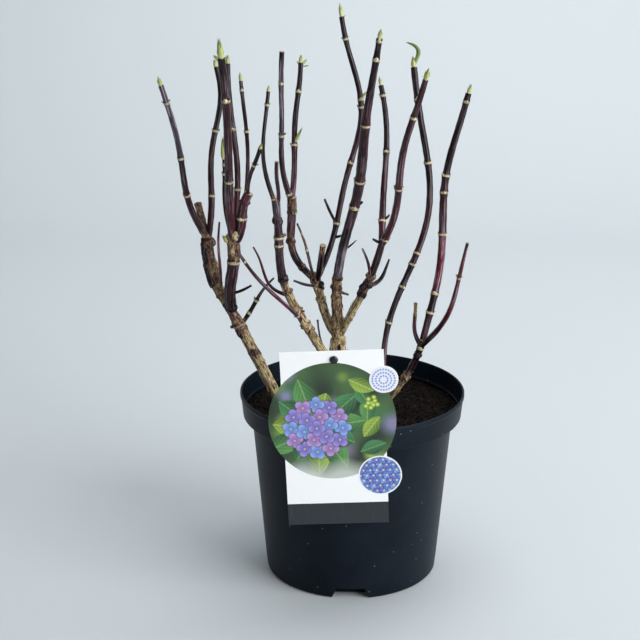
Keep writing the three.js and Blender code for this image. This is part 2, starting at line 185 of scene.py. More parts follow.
class Nodes:
    """A node tree with short ways to add to it; each of them gives back the new node's output."""

    def __init__(self, tree):
        self.tree = tree

    def feed(self, sockets, values):
        """Fills sockets with other nodes' outputs, colours as hex codes, or plain values."""
        for key, value in values.items():
            if isinstance(value, bpy.types.NodeSocket):
                self.tree.links.new(value, sockets[key])
            else:
                sockets[key].default_value = linear(value) if str(value).startswith("#") else value

    def add(self, kind, values=None, out=0, **settings):
        node = self.tree.nodes.new(kind)
        for key, value in settings.items():
            setattr(node, key, value)
        self.feed(node.inputs, values or {})
        return node.outputs[out]

    def calc(self, operation, a, b=0.0, c=0.0):
        return self.add("ShaderNodeMath", {0: a, 1: b, 2: c}, operation=operation)

    def scaled(self, value, by, plus=0.0):
        return self.calc("MULTIPLY_ADD", value, by, plus)

    def vector(self, x, y, z):
        return self.add("ShaderNodeCombineXYZ", {0: x, 1: y, 2: z})

    def vector_calc(self, operation, a, b):
        values = {0: a, "Scale" if operation == "SCALE" else 1: b}
        return self.add("ShaderNodeVectorMath", values, operation=operation)

    def noise(self, place, scale, detail, out=0, **more):
        values = {"Vector": place, "Scale": scale, "Detail": detail, **more}
        return self.add("ShaderNodeTexNoise", values, out)

    def mix(self, colour, *layers):
        """A colour under layers of (cover, colour)."""
        for cover, over in layers:
            colour = self.add("ShaderNodeMix", {0: cover, 6: colour, 7: over}, 2, data_type="RGBA")
        return colour

    def ramp(self, factor, *stops):
        """A colour ramp from (place, colour) stops, its colours as hex codes or grey levels."""
        node = self.tree.nodes.new("ShaderNodeValToRGB")
        self.feed(node.inputs, {"Fac": factor})
        while len(node.color_ramp.elements) < len(stops):
            node.color_ramp.elements.new(0.5)
        for element, (place, colour) in zip(node.color_ramp.elements, stops):
            element.position = place
            element.color = linear(colour) if isinstance(colour, str) else (colour, colour, colour, 1.0)
        return node.outputs["Color"]

    def own_place(self):
        return self.add("ShaderNodeTexCoord", out="Object")

    def look(self, label, out="Fac"):
        """What the mesh says of this at each point."""
        return self.add("ShaderNodeAttribute", out=out, attribute_name=label)

    def use(self, group, **values):
        node = self.tree.nodes.new("ShaderNodeGroup")
        node.node_tree = group.tree
        self.feed(node.inputs, {label.capitalize(): value for label, value in values.items()})
        return node.outputs

    def surface(self, values, height=None, distance=0.0, strength=1.0):
        """Feeds the material's own shader, and bumps it by a height of this distance in mm."""
        if height is not None:
            relief = {"Height": height, "Distance": distance * MM, "Strength": strength}
            values = {**values, "Normal": self.add("ShaderNodeBump", relief, "Normal")}
        self.feed(self.tree.nodes["Principled BSDF"].inputs, values)


def new_material(name):
    """A material, and the nodes of its tree."""
    material = bpy.data.materials.new(name)
    material.use_nodes = True
    return material, Nodes(material.node_tree)


def shader_group(name, inputs, outputs):
    """A node group with named number inputs and outputs: its nodes, what it is given, what it gives."""
    group = bpy.data.node_groups.new(name, "ShaderNodeTree")
    for label, default in inputs.items():
        socket = group.interface.new_socket(label, in_out="INPUT", socket_type="NodeSocketFloat")
        socket.default_value = default
    for label in outputs:
        group.interface.new_socket(label, in_out="OUTPUT", socket_type="NodeSocketFloat")
    start = group.nodes.new("NodeGroupInput")
    end = group.nodes.new("NodeGroupOutput")
    return Nodes(group), start.outputs, end.inputs


# Shared by the pot, the card and the peg: a moulded or rolled grain, with settled dust and faint scuffs
plastic_finish, given, gives = shader_group(
    "plastic_finish", {"Grain": 1.4, "Dust": 0.5, "Scuffs": 0.5}, ("Cloud", "Speck", "Scuff", "Height")
)
place = plastic_finish.own_place()
specks = plastic_finish.tree.nodes.new("ShaderNodeTexVoronoi")
plastic_finish.feed(specks.inputs, {"Vector": place, "Scale": 210.0, "Randomness": 1.0})
lot = plastic_finish.add("ShaderNodeSeparateColor", {"Color": specks.outputs["Color"]})
rare = plastic_finish.calc("GREATER_THAN", lot, plastic_finish.scaled(given["Dust"], -0.09, 1.0))
near = plastic_finish.calc("LESS_THAN", specks.outputs["Distance"], 0.13)
stretch = plastic_finish.add("ShaderNodeMapping", {"Vector": place, "Scale": (60.0, 60.0, 9.0)})
worn = plastic_finish.ramp(plastic_finish.noise(stretch, 5.0, 6.0), (0.60, 0.0), (0.78, 1.0))
plastic_finish.feed(gives, {
    "Cloud": plastic_finish.noise(place, 22.0, 5.0),
    "Speck": plastic_finish.scaled(near, rare),
    "Scuff": plastic_finish.scaled(worn, given["Scuffs"]),
    "Height": plastic_finish.scaled(plastic_finish.noise(place, 1100.0, 3.0), given["Grain"]),
})

pot_plastic, nodes = new_material("pot_plastic")
finish = nodes.use(plastic_finish, grain=1.0, dust=0.8, scuffs=0.7)
dull = nodes.scaled(finish["Cloud"], 0.16, 0.34)
body = nodes.mix(
    nodes.ramp(finish["Cloud"], (0.25, "#0a1119"), (0.75, "#121c26")),
    (nodes.scaled(finish["Scuff"], 0.25), "#2c363d"),
    (nodes.scaled(finish["Speck"], 0.5), "#8d9294"),
)
nodes.surface({"Base Color": body, "Roughness": nodes.scaled(finish["Scuff"], 0.12, dull),
               "Specular IOR Level": 0.1}, finish["Height"], 0.05, 0.6)


def notch_block(turn):
    half, top = NOTCH_FOOT_WIDTH / 2, NOTCH_TOP_WIDTH / 2
    section = [(-half, -1), (half, -1), (top, NOTCH_HEIGHT), (-top, NOTCH_HEIGHT)]
    near, far = WALL_FOOT_RADIUS + NOTCH_DEPTH, WALL_FOOT_RADIUS - NOTCH_DEPTH
    vertices = [(x * MM, -y * MM, z * MM) for y in (near, far) for x, z in section]
    faces = [(0, 1, 2, 3), (7, 6, 5, 4), (0, 4, 5, 1), (1, 5, 6, 2), (2, 6, 7, 3), (3, 7, 4, 0)]
    block = mesh_object("notch_block", vertices, faces, smooth=False)
    block.data.transform(Matrix.Rotation(turn, 4, "Z"))
    return block


collar_foot = POT_HEIGHT - COLLAR_HEIGHT
inner_ledge_radius = float(np.interp(
    INNER_LEDGE, (collar_foot + WALL, POT_HEIGHT), (COLLAR_FOOT_RADIUS - WALL, LIP_RADIUS - WALL)))
pot_outline = [
    (0, 0), (WALL_FOOT_RADIUS - FOOT_BEVEL, 0), (WALL_FOOT_RADIUS, FOOT_BEVEL),
    (WALL_TOP_RADIUS, collar_foot - LEDGE_SLOPE), (COLLAR_FOOT_RADIUS, collar_foot),
    (COLLAR_TOP_RADIUS, POT_HEIGHT - LIP_HEIGHT), (LIP_RADIUS, POT_HEIGHT - LIP_HEIGHT + 1),
    (LIP_RADIUS, POT_HEIGHT), (LIP_RADIUS - WALL, POT_HEIGHT),
    (inner_ledge_radius, INNER_LEDGE + INNER_LEDGE_STEP),
    (inner_ledge_radius - INNER_LEDGE_STEP, INNER_LEDGE),
    (COLLAR_FOOT_RADIUS - WALL, collar_foot + WALL),
    (WALL_TOP_RADIUS - WALL, collar_foot + WALL - LEDGE_SLOPE),
    (WALL_FOOT_RADIUS - WALL, BASE_THICKNESS), (0, BASE_THICKNESS),
]
pot = turned("nursery_pot", rounded(pot_outline, POT_EDGE_RADIUS), POT_SIDES)
for k in range(NOTCH_COUNT):
    combine(pot, notch_block(math.tau * k / NOTCH_COUNT), "DIFFERENCE")
shade_by_angle(pot, POT_SHARP_ANGLE)
coat(pot, pot_plastic)
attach(pot, "root")
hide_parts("pot")

# POTTING SOIL
# The real filling is dark moist peat compost: crumbs of a few millimetres, bits of bark and pale root
# fibres, loosely level just over the ledge inside the collar and a little heaped where stems come out.

SOIL_TOP = 172
SOIL_EDGE_RADIUS = 109
SOIL_FOOT_RADIUS = 98
SOIL_DEPTH = 8
SOIL_RINGS = 70
SOIL_SIDES = 180
SOIL_RELIEF = ((1.3, (34, 17, 9, 5), 3), (0.5, (3.1, 2.2), 5))  # height and wave sizes in mm, and seed
HEAP_HEIGHT = 2.5
HEAP_SPREAD = 250  # square millimetres
STEM_FEET = ((-67, -6), (-11, 5), (27, 7), (36, 55))


def lumps(x, y, sizes, seed):
    """A soft random height of about -1 to 1 from crossed waves of the given sizes in mm."""
    turns = np.random.default_rng(seed)
    total = np.zeros_like(x)
    for size in sizes:
        for _ in range(6):
            way = turns.uniform(0, math.tau)
            phase = turns.uniform(0, math.tau)
            total += np.sin((x * math.cos(way) + y * math.sin(way)) * math.tau / size + phase) / 6
    return total / math.sqrt(len(sizes))


def soil_bed():
    r, a = np.meshgrid(np.linspace(0, SOIL_EDGE_RADIUS, SOIL_RINGS)[1:],
                       np.linspace(0, math.tau, SOIL_SIDES, endpoint=False), indexing="ij")
    x, y = r * np.cos(a), r * np.sin(a)
    z = SOIL_TOP
    for size, waves, seed in SOIL_RELIEF:
        z = z + size * lumps(x, y, waves, seed)
    for foot_x, foot_y in STEM_FEET:
        z += HEAP_HEIGHT * np.exp(-((x - foot_x) ** 2 + (y - foot_y) ** 2) / HEAP_SPREAD)
    vertices = [(0, 0, SOIL_TOP * MM)]
    vertices += [tuple(p) for p in np.stack((x * MM, y * MM, z * MM), -1).reshape(-1, 3)]
    foot = len(vertices)
    edge = foot - SOIL_SIDES
    inward = SOIL_FOOT_RADIUS / SOIL_EDGE_RADIUS
    vertices += [(x * inward, y * inward, (SOIL_TOP - SOIL_DEPTH) * MM) for x, y, z in vertices[edge:]]
    rings = [band(low, low + SOIL_SIDES, SOIL_SIDES) for low in range(1, edge, SOIL_SIDES)]
    faces = [face for slice_of_faces in zip(fan(0, 1, SOIL_SIDES), *rings) for face in slice_of_faces]
    faces += band(edge, foot, SOIL_SIDES) + [tuple(range(foot, foot + SOIL_SIDES))]
    return mesh_object("soil_bed", vertices, flipped(faces))


class Growth(Nodes):
    """A Geometry Nodes tree with named inputs, and the pieces that it makes of base meshes."""

    def __init__(self, name, **inputs):
        super().__init__(bpy.data.node_groups.new(name, "GeometryNodeTree"))
        interface = self.tree.interface
        self.sockets = {}
        for label, kind in {"Geometry": "Geometry", **inputs}.items():
            label = label.replace("_", " ")
            self.sockets[label] = interface.new_socket(label, in_out="INPUT", socket_type="NodeSocket" + kind)
        interface.new_socket("Geometry", in_out="OUTPUT", socket_type="NodeSocketGeometry")
        self.given = self.tree.nodes.new("NodeGroupInput").outputs
        self.end = self.tree.nodes.new("NodeGroupOutput").inputs

    def named(self, label, kind="FLOAT"):
        return self.add("GeometryNodeInputNamedAttribute", {"Name": label}, "Attribute", data_type=kind)

    def store(self, geometry, label, value, kind):
        values = {"Geometry": geometry, "Name": label, "Value": value}
        return self.add("GeometryNodeStoreNamedAttribute", values, data_type=kind, domain="POINT")

    def shifted(self, geometry, offset):
        return self.add("GeometryNodeSetPosition", {"Geometry": geometry, "Offset": offset})

    def roughened(self, geometry, scale, amount):
        """Geometry with its points pushed about by a soft noise."""
        noise = self.noise(self.add("GeometryNodeInputPosition"), scale, 2.0, "Color")
        away = self.vector_calc("SUBTRACT", noise, (0.5, 0.5, 0.5))
        return self.shifted(geometry, self.vector_calc("SCALE", away, amount))

    def real(self, geometry):
        return self.add("GeometryNodeRealizeInstances", {0: geometry})

    def coated(self, geometry):
        """Ends the tree: the geometry gets the material that the tree is given."""
        values = {"Geometry": geometry, "Material": self.given["Material"]}
        self.feed(self.end, {"Geometry": self.add("GeometryNodeSetMaterial", values)})

    def grow(self, name, base, **values):
        """A new piece: what the tree makes of a base mesh, as a plain mesh."""
        piece = new_object(name, base.data.copy())
        modifier = piece.modifiers.new("growth", "NODES")
        modifier.node_group = self.tree
        for label, value in values.items():
            modifier[self.sockets[label.replace("_", " ")].identifier] = value
        return settled(piece)


# Bits of one kind strewn over a bed: crumbs, chips or fibres by their shape, size and number
bits = Growth("strewn_bits", Density="Float", Smallest="Float", Largest="Float", Shape="Vector",
              Roughness="Float", Seed="Int", Material="Material")
given = bits.given
height = bits.add("ShaderNodeSeparateXYZ", {0: bits.add("GeometryNodeInputNormal")}, "Z")
spread = bits.add("GeometryNodeDistributePointsOnFaces", {
    "Mesh": given["Geometry"], "Density": given["Density"], "Seed": given["Seed"],
    "Selection": bits.calc("GREATER_THAN", height, 0.5)}, "Points")
ball = bits.add("GeometryNodeMeshIcoSphere", {"Radius": 1.0, "Subdivisions": 2})
lump = bits.roughened(ball, 1.1, given["Roughness"])
strewn = bits.add("GeometryNodeInstanceOnPoints", {
    "Points": spread,
    "Instance": bits.add("GeometryNodeTransform", {"Geometry": lump, "Scale": given["Shape"]}),
    "Rotation": bits.add("FunctionNodeRandomValue", {
        "Min": (-0.6, -0.6, 0.0), "Max": (0.6, 0.6, math.tau), "Seed": given["Seed"],
    }, data_type="FLOAT_VECTOR"),
    "Scale": bits.add("FunctionNodeRandomValue", {
        2: given["Smallest"], 3: given["Largest"], "Seed": given["Seed"]}, 1)})
bits.coated(bits.real(strewn))


def soil_material(name, dark, light, roughness):
    material, nodes = new_material(name)
    place = nodes.own_place()
    patches = nodes.noise(place, 320.0, 6.0, Roughness=0.65)
    nodes.surface({"Base Color": nodes.ramp(patches, (0.36, dark), (0.68, light)), "Roughness": roughness,
                   "Specular IOR Level": 0.1}, nodes.noise(place, 1500.0, 4.0), 0.4, 0.8)
    return material


peat = soil_material("moist_peat", "#060403", "#17100c", 0.9)
chip_bark = soil_material("bark_chips", "#100906", "#2c1c13", 0.8)
fibre = soil_material("root_fibres", "#2a1d15", "#574434", 0.85)

bed = soil_bed()
coat(bed, peat)
crumbs = bits.grow("soil_crumbs", bed, Density=52000.0, Smallest=0.6 * MM, Largest=2.1 * MM,
                   Shape=(1.0, 0.85, 0.7), Roughness=1.1, Seed=4, Material=peat)
chips = bits.grow("soil_bark_chips", bed, Density=3000.0, Smallest=1.0 * MM, Largest=2.6 * MM,
                  Shape=(1.9, 0.8, 0.35), Roughness=0.9, Seed=5, Material=chip_bark)
fibres = bits.grow("soil_fibres", bed, Density=5200.0, Smallest=1.5 * MM, Largest=4.2 * MM,
                   Shape=(1.6, 0.075, 0.075), Roughness=0.5, Seed=6, Material=fibre)
for piece in (bed, crumbs, chips, fibres):
    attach(piece, "root")
    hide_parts("soil")

# LEFT STEM AND ITS SHOOTS
# Real hydrangea canes: two year old wood has a pale tan skin that splits lengthwise and peels, and
# last year's shoots are glossy, from black over plum to crimson, with a cream scar ring and a pair
# of buds at each node. The left stem leans out over the lip, with old cut stubs where it forks.

STEP = 0.8  # between two sections of a cane
ROOT_FLARE = 1.3
ROOT_FLARE_HEIGHT = 22
ROOT_DEPTH = 8
NODE_REACH = 3.2
RING_HALF_WIDTH = 0.9
UNEVEN_WAVES = ((0.02, 5.3), (0.015, 2.1))  # share of the thickness, and length over tau in mm
OLD_WAVE = (0.03, 3.1)
NECK = 0.7  # half thickness of a limb's foot, to its parent's
NECK_MOST = 1.15
NECK_REACH = 2
NODE_SWELL = 0.16
SPUR_TIP = 0.35
STUB_TIP = 0.75
SPUR_SHOULDER = 0.6
SPUR_SAG = 0.05
SPUR_BUD_SEAT = 0.6
DRY_TIP = 1.7  # a cut end with a smaller half thickness than this has dried dark
CUT_END = ((0.25, 0.93, 0.4), (0.35, 0.7, 1), (0.4, 0.35, 1), (0.42, 0.03, 1))  # past the tip, half, bare
BUD_SHOWING = 0.9  # the share of an end bud that stands clear of its wood
BUD_OVERLAP = 0.6
BUD_CLEARANCE = 1.5
FISSURE_WIDTH = 1.5
FISSURE_LENGTH = 13
SKIN_BLEND = 5

# What a stretch of cane looks like: how aged its skin is, how red, how pale, and how rough in mm
# On young shoots the paleness also sets how strong their painted highlight streaks are
SKINS = {
    "tan": (1.0, 0.0, 1.0, 0.55),
    "brown": (1.0, 0.0, 0.35, 0.60),
    "umber": (0.78, 0.05, 0.08, 0.50),
    "grey": (0.0, 0.10, 1.0, 0.20),
    "black": (0.0, 0.05, 0.0, 0.10),
    "plum": (0.0, 0.24, 0.1, 0.12),
    "wine": (0.0, 0.5, 0.3, 0.14),
    "crimson": (0.0, 1.0, 0.6, 0.14),
}

# Each limb springs from a place on the soil, or on another limb at a share of its length. It has a tip,
# waves to the right of a straight line, a bow to the back, its thickness at foot, middle and tip, scar
# rings in mm from the foot, an end bud's length and width, spurs (place, reach, width, kind) and skins.
LEFT_LIMBS = dict(
    left_stem=dict(
        foot=(-67, -6), tip=(-125, 8, 278), waves=(1,), thick=(12, 12, 11), rings=(108,),
        spurs=[(109, (-9, 0, -3), 4, "umber")], skins="0 tan 66 tan 70 umber 80 tan 92 tan 98 umber"),
    left_bough_inner=dict(
        on=("left_stem", 0.97), tip=(-121, -8, 359), waves=(1, -2), bow=-4, thick=(12, 12, 12),
        rings=(58,), spurs=[(21, (22, -3, 10), 3, "black")],
        skins="0 brown 2 black 22 plum 58 plum 62 brown"),
    left_bough_outer=dict(
        on=("left_stem", 0.95), tip=(-148, 26, 347), waves=(-7,), bow=2, thick=(9, 13, 11),
        skins="0 tan 18 brown 34 umber 44 brown 58 umber"),
    left_shoot_far=dict(
        on=("left_bough_outer", 0.98), tip=(-185, -42, 523), waves=(-2, -4, -1), bow=-8, thick=(7, 6, 5),
        rings=(61, 105, 165), bud=(13, 5), skins="0 brown 14 plum 60 plum 85 black 108 grey"),
    left_stub_far=dict(
        on=("left_bough_outer", 0.9), tip=(-159, 48, 377), thick=(8, 8, 8),
        skins="0 umber 30 umber 35 brown"),
    left_shoot_rear=dict(
        on=("left_bough_outer", 0.94), tip=(-143, 80, 521), waves=(4, -3, 3), bow=8, thick=(7, 6, 5),
        rings=(47, 114), bud=(11, 5), skins="0 plum 50 plum 100 black"),
    left_shoot_front=dict(
        on=("left_bough_inner", 0.94), tip=(-123, -84, 564), waves=(3, -1), bow=-6, thick=(8, 8, 7),
        rings=(72, 160), bud=(24, 7), skins="0 wine 60 plum 190 black"),
    left_stub_near=dict(
        on=("left_bough_inner", 0.88), tip=(-102, -20, 404), waves=(1, 2), thick=(11, 10, 9), rings=(32,),
        skins="0 plum 20 wine"),
    left_shoot_middle=dict(
        on=("left_bough_inner", 0.97), tip=(-125, 38, 532), waves=(5, 3), bow=6, thick=(6, 6, 5),
        rings=(47, 107), bud=(12, 5), skins="0 wine 60 plum 130 black"),
    left_shoot_bud=dict(
        on=("left_bough_inner", 0.99), tip=(-131, 12, 455), waves=(-2, -2), bow=4, thick=(4, 4, 4),
        rings=(61, 70), bud=(27, 7), skins="0 plum 40 black"),
    left_shoot_high=dict(
        on=("left_stub_near", 0.86), tip=(-115, 60, 512), waves=(3, 1), bow=14, thick=(4, 4, 4),
        rings=(77, 121), bud=(13, 4), skins="0 plum 50 black"),
    left_shoot_low=dict(
        on=("left_stub_near", 0.96), tip=(-86, -62, 463), waves=(-2, -1), bow=-4, thick=(4, 4, 4),
        rings=(47,), bud=(9, 4), skins="0 plum 20 black"),
    left_twig_crimson=dict(
        on=("left_bough_outer", 0.3), tip=(-131, -22, 375), waves=(0, 1), bow=-6, thick=(3, 3, 2),
        skins="0 brown 12 crimson 60 crimson 74 black"),
    left_twig_side=dict(
        on=("left_stem", 0.83), tip=(-80, 10, 309), waves=(-1, 1), bow=4, thick=(5, 4, 2), rings=(16, 31),
        skins="0 umber 6 black 40 wine"),
)

grown = {}  # the limbs so far
node_places = []  # (place, way up the cane, half thickness, how worn), where a scar ring goes
bud_places = []  # (foot, way, length, width) of the end buds
leaf_feet = []
chance = np.random.default_rng(29)


def unit(vector):
    return vector / np.linalg.norm(vector)


class Limb:
    """A limb's middle line in mm, and how thick it is along it."""

    def __init__(self, foot, tip, thick, waves=(), bow=0):
        foot, tip = np.array(foot, float), np.array(tip, float)
        right = unit(np.array((tip[2] - foot[2], 0, foot[0] - tip[0])))
        t = np.linspace(0, 1, 801)[:, None]
        self.line = foot + (tip - foot) * t
        for k, size in enumerate(waves):
            self.line += right * size * np.sin((k + 1) * math.pi * t)
        self.line[:, 1] += bow * np.sin(math.pi * t[:, 0])
        steps = np.linalg.norm(np.diff(self.line, axis=0), axis=1)
        self.lengths = np.concatenate(((0,), np.cumsum(steps)))
        self.length = self.lengths[-1]
        self.thick = np.array(thick) / 2

    def at(self, distance):
        return np.stack([np.interp(distance, self.lengths, self.line[:, k]) for k in range(3)], -1)

    def way(self, distance):
        """The way up the limb, or straight up past its tip."""
        on = self.at(distance + 0.5) - self.at(distance - 0.5)
        return unit(on) if on.any() else np.array((0.0, 0.0, 1.0))

    def half(self, distance):
        return np.interp(distance / self.length, (0, 0.5, 1), self.thick)


def skin_values(skins, distances):
    """Age, redness, paleness and roughness at each distance, turning softly from skin to skin."""
    words = skins.split()
    starts = [float(word) for word in words[::2]] + [distances[-1] + 100]
    stops, rows = [], []
    for start, end, kind in zip(starts, starts[1:], words[1::2]):
        blend = min(SKIN_BLEND, (end - start) / 3)
        stops += [start + blend, end - blend]
        rows += [SKINS[kind], SKINS[kind]]
    return [np.interp(distances, stops, column) for column in np.array(rows).T]


def mark(mesh, label, values, kind="FLOAT"):
    """Stores a value or a vector for each point of a mesh."""
    field = "vector" if kind == "FLOAT_VECTOR" else "value"
    numbers = np.ravel(values).astype(float).tolist()
    mesh.attributes.new(label, kind, "POINT").data.foreach_set(field, numbers)


class Strands:
    """Collects the lines that one piece is swept along, with what its skin is like at each point."""

    def __init__(self):
        self.points, self.edges, self.rows = [], [], []

    def add(self, points, rows):
        first = len(self.points)
        self.points += [tuple(p * MM) for p in points]
        self.edges += [(first + k, first + k + 1) for k in range(len(points) - 1)]
        self.rows += rows.tolist()

    def as_object(self, name):
        mesh = bpy.data.meshes.new(name)
        mesh.from_pydata(self.points, self.edges, [])
        for k, label in enumerate(("half", "along", "age", "red", "pale", "rough", "ring", "cut")):
            mark(mesh, label, np.array(self.rows)[:, k] * (MM if label in ("half", "along", "rough") else 1))
        return new_object(name, mesh)


def strand_rows(half, distances, skins, rings=(), end_cut=False):
    """A strand's rows: half thickness with swollen nodes and a little unevenness, skin, ring and cut."""
    phases = chance.uniform(0, math.tau, 4)
    uneven = 1
    for (size, length), phase in zip(UNEVEN_WAVES, phases):
        uneven = uneven + size * np.sin(distances / length + phase)
    age, red, pale, rough = skin_values(skins, distances)
    size, length = OLD_WAVE
    half = half * (uneven + age * size * np.sin(distances / length + phases[2]))
    ring_mask = np.zeros_like(distances)
    for ring in rings:
        half = half * (1 + NODE_SWELL * np.exp(-(((distances - ring) / NODE_REACH) ** 2)))
        ring_mask = np.maximum(ring_mask, np.clip(1.5 - np.abs(distances - ring) / RING_HALF_WIDTH, 0, 1))
    rows = np.stack((half, distances, age, red, pale, rough, ring_mask, np.zeros_like(distances)), -1)
    if end_cut:
        past, share, bare = np.array(CUT_END).T
        end = np.repeat(rows[-1:], len(CUT_END), axis=0)
        end[:, 0] = half[-1] * share
        end[:, 1] += past
        end[:, 7] = bare * (1.0 if half[-1] > DRY_TIP else 0.25)
        rows = np.concatenate((rows, end))
    return rows


def grow_limb(name, row, strands):
    """Adds a limb and its spurs to the strands, and notes where its rings and its end bud go."""
    parent, share = row.get("on", (None, 0))
    if parent:
        parent = grown[parent]
        foot = parent.at(share * parent.length)
    else:
        foot = (*row["foot"], SOIL_TOP - ROOT_DEPTH)
    limb = grown[name] = Limb(foot, row["tip"], row["thick"], row.get("waves", ()), row.get("bow", 0))
    bud_length, bud_width = row.get("bud", (0, 0))
    wood_end = limb.length - bud_length * BUD_SHOWING
    distances = np.linspace(0, wood_end, max(8, round(wood_end / STEP)))
    half = limb.half(distances)
    if parent:
        neck = NECK * parent.half(share * parent.length)
        widen = np.clip(distances / (NECK_REACH * neck), 0, 1)
        half = half * widen + np.minimum(neck, half) * NECK_MOST * (1 - widen)
    else:
        half = half * (1 + (ROOT_FLARE - 1) * np.clip(1 - distances / ROOT_FLARE_HEIGHT, 0, 1) ** 2)
    rows = strand_rows(half, distances, row["skins"], row.get("rings", ()), not bud_length)
    past_tip = np.maximum(rows[:, 1:2] - limb.length, 0)
    strands.add(limb.at(rows[:, 1]) + past_tip * limb.way(limb.length - 1), rows)
    for ring in row.get("rings", ()):
        thickness, worn = [np.interp(ring, rows[:, 1], rows[:, k]) for k in (0, 2)]
        node_places.append((limb.at(ring), limb.way(ring), thickness, worn))
    if bud_length:
        showing = bud_length * BUD_SHOWING - BUD_CLEARANCE
        bud_places.append((limb.at(wood_end - BUD_OVERLAP), limb.way(wood_end - 1), showing, bud_width))
    for start, reach, width, kind in row.get("spurs", ()):
        root = limb.at(start)
        reach = np.array(reach, float)
        size = np.linalg.norm(reach)
        if kind == "bud":
            side = reach / size * np.interp(start, rows[:, 1], rows[:, 0]) * SPUR_BUD_SEAT
            bud_places.append((root + side, reach / size, size - np.linalg.norm(side), width))
        elif kind == "leaf":
            leaf_feet.append(root)
        else:
            steps = np.linspace(0, size, max(6, round(size / STEP)))
            blunt = SPUR_TIP if width < 3 else STUB_TIP
            spur_half = width / 2 * np.interp(steps / size, (0, SPUR_SHOULDER, 1), (1, 1, blunt))
            sag = np.array((0, 0, 1)) * (size * SPUR_SAG) * np.sin(np.pi * steps / size)[:, None]
            points = root + reach * (steps / size)[:, None] - sag
            strands.add(points, strand_rows(spur_half, steps, f"0 {kind}"))


# Sweeps a round section along each strand, then raises the bark's lengthwise relief on it
cane = Growth("swept_cane", Sides="Int", Fissure_width="Float", Fissure_length="Float", Seed="Int",
              Material="Material")
given = cane.given
half_thickness, around = cane.named("half"), cane.named("around")
section = cane.add("GeometryNodeCurvePrimitiveCircle", {"Resolution": given["Sides"], "Radius": 1.0})
turn = cane.scaled(cane.add("GeometryNodeSplineParameter", out="Factor"), math.tau)
swept = cane.add("GeometryNodeCurveToMesh", {
    "Curve": cane.add("GeometryNodeMeshToCurve", {"Mesh": given["Geometry"]}),
    "Profile Curve": cane.store(section, "around", turn, "FLOAT"),
    "Scale": half_thickness, "Fill Caps": True})
grain_place = cane.vector(
    cane.scaled(cane.calc("COSINE", around), half_thickness),
    cane.scaled(cane.calc("SINE", around), half_thickness),
    cane.scaled(given["Seed"], 0.731, cane.named("along")))
grained = cane.store(swept, "grain", grain_place, "FLOAT_VECTOR")
across = cane.calc("DIVIDE", 1.0, given["Fissure width"])
crack_scale = cane.vector(across, across, cane.calc("DIVIDE", 1.0, given["Fissure length"]))
cracks = cane.noise(cane.vector_calc("MULTIPLY", cane.named("grain", "FLOAT_VECTOR"), crack_scale), 1.0, 3.0)
ridge = cane.calc("ABSOLUTE", cane.calc("SUBTRACT", cracks, 0.5))
lift = cane.scaled(cane.scaled(ridge, 4.0, -0.5), cane.named("rough"))
barked = cane.shifted(grained, cane.vector_calc("SCALE", cane.add("GeometryNodeInputNormal"), lift))
cane.coated(cane.real(cane.add("GeometryNodeSetShadeSmooth", {"Geometry": barked, "Shade Smooth": True})))

# Shared by all wood: streaks and fine fibre along the limb, small raised pores, and streaks for a painted
# highlight
wood_grain, given, gives = shader_group(
    "wood_grain", {"Width": 0.8, "Length": 14.0, "Pores": 0.5},
    ("Streak", "Fibre", "Patch", "Fleck", "Highlight_streak", "Pore"),
)
grain_place = wood_grain.look("grain", "Vector")


def along_grain(width, length):
    """Where on its limb's skin a point is, drawn out so that a pattern has this size in mm."""
    across = wood_grain.calc("DIVIDE", 1000.0, width)
    scale = wood_grain.vector(across, across, wood_grain.calc("DIVIDE", 1000.0, length))
    return wood_grain.vector_calc("MULTIPLY", grain_place, scale)


for label, width, length, detail in (
    ("Streak", given["Width"], given["Length"], 4.0), ("Fibre", 0.35, 6.0, 2.0), ("Patch", 7.0, 16.0, 3.0),
    ("Fleck", 2.4, 4.6, 2.0), ("Highlight_streak", 1.3, 34.0, 2.0),
):
    wood_grain.feed(gives, {label: wood_grain.noise(along_grain(width, length), 1.0, detail)})
pores = wood_grain.add("ShaderNodeTexVoronoi", {"Vector": along_grain(1.6, 4.0), "Scale": 1.0}, "Distance")
wood_grain.feed(gives, {"Pore": wood_grain.calc("LESS_THAN", pores, wood_grain.scaled(given["Pores"], 0.3))})

cane_skin, nodes = new_material("cane_skin")
age, red, pale, ring, cut = [nodes.look(label) for label in ("age", "red", "pale", "ring", "cut")]
grain = nodes.use(wood_grain, width=0.8, length=14.0, pores=0.55)
patch, streak, fleck = grain["Patch"], grain["Streak"], grain["Fleck"]
young = nodes.mix(
    nodes.ramp(patch, (0.3, "#060405"), (0.7, "#140b10")),
    (red, nodes.ramp(patch, (0.3, "#340f19"), (0.7, "#66222c"))),
)
# Painted highlight: pale silvery streaks along the young shoots stand for gloss catching the light, stronger
# where the skin is pale
painted_highlight = nodes.scaled(nodes.scaled(pale, 0.8, 0.2), nodes.ramp(grain["Highlight_streak"], (0.56, 0.0), (0.60, 0.85)))
young = nodes.mix(
    young,
    (nodes.scaled(pale, 0.55), nodes.mix("#4c4853", (red, young))),
    (nodes.ramp(streak, (0.56, 0.0), (0.70, 0.22)), "#7c6a78"),
    (painted_highlight, "#9a8c97"),
    (nodes.scaled(grain["Pore"], 0.25), "#7a625c"),
)
old = nodes.mix(
    nodes.ramp(streak, (0.34, "#1b110e"), (0.46, "#4e322a"), (0.58, "#866051"), (0.72, "#b39483")),
    (pale, nodes.ramp(streak, (0.34, "#35281b"), (0.43, "#897553"), (0.54, "#bda97e"), (0.68, "#e3d8b4"))),
    (nodes.ramp(patch, (0.52, 0.0), (0.66, 0.6)), "#7b5646"),
    (nodes.scaled(grain["Fibre"], 0.3), "#2a1a15"),
    (nodes.ramp(fleck, (0.57, 0.0), (0.62, 0.75)), "#2c1c14"),
    (nodes.ramp(fleck, (0.36, 0.45), (0.42, 0.0)), "#d8c5aa"),
    (nodes.scaled(grain["Pore"], 0.6), "#281914"),
)
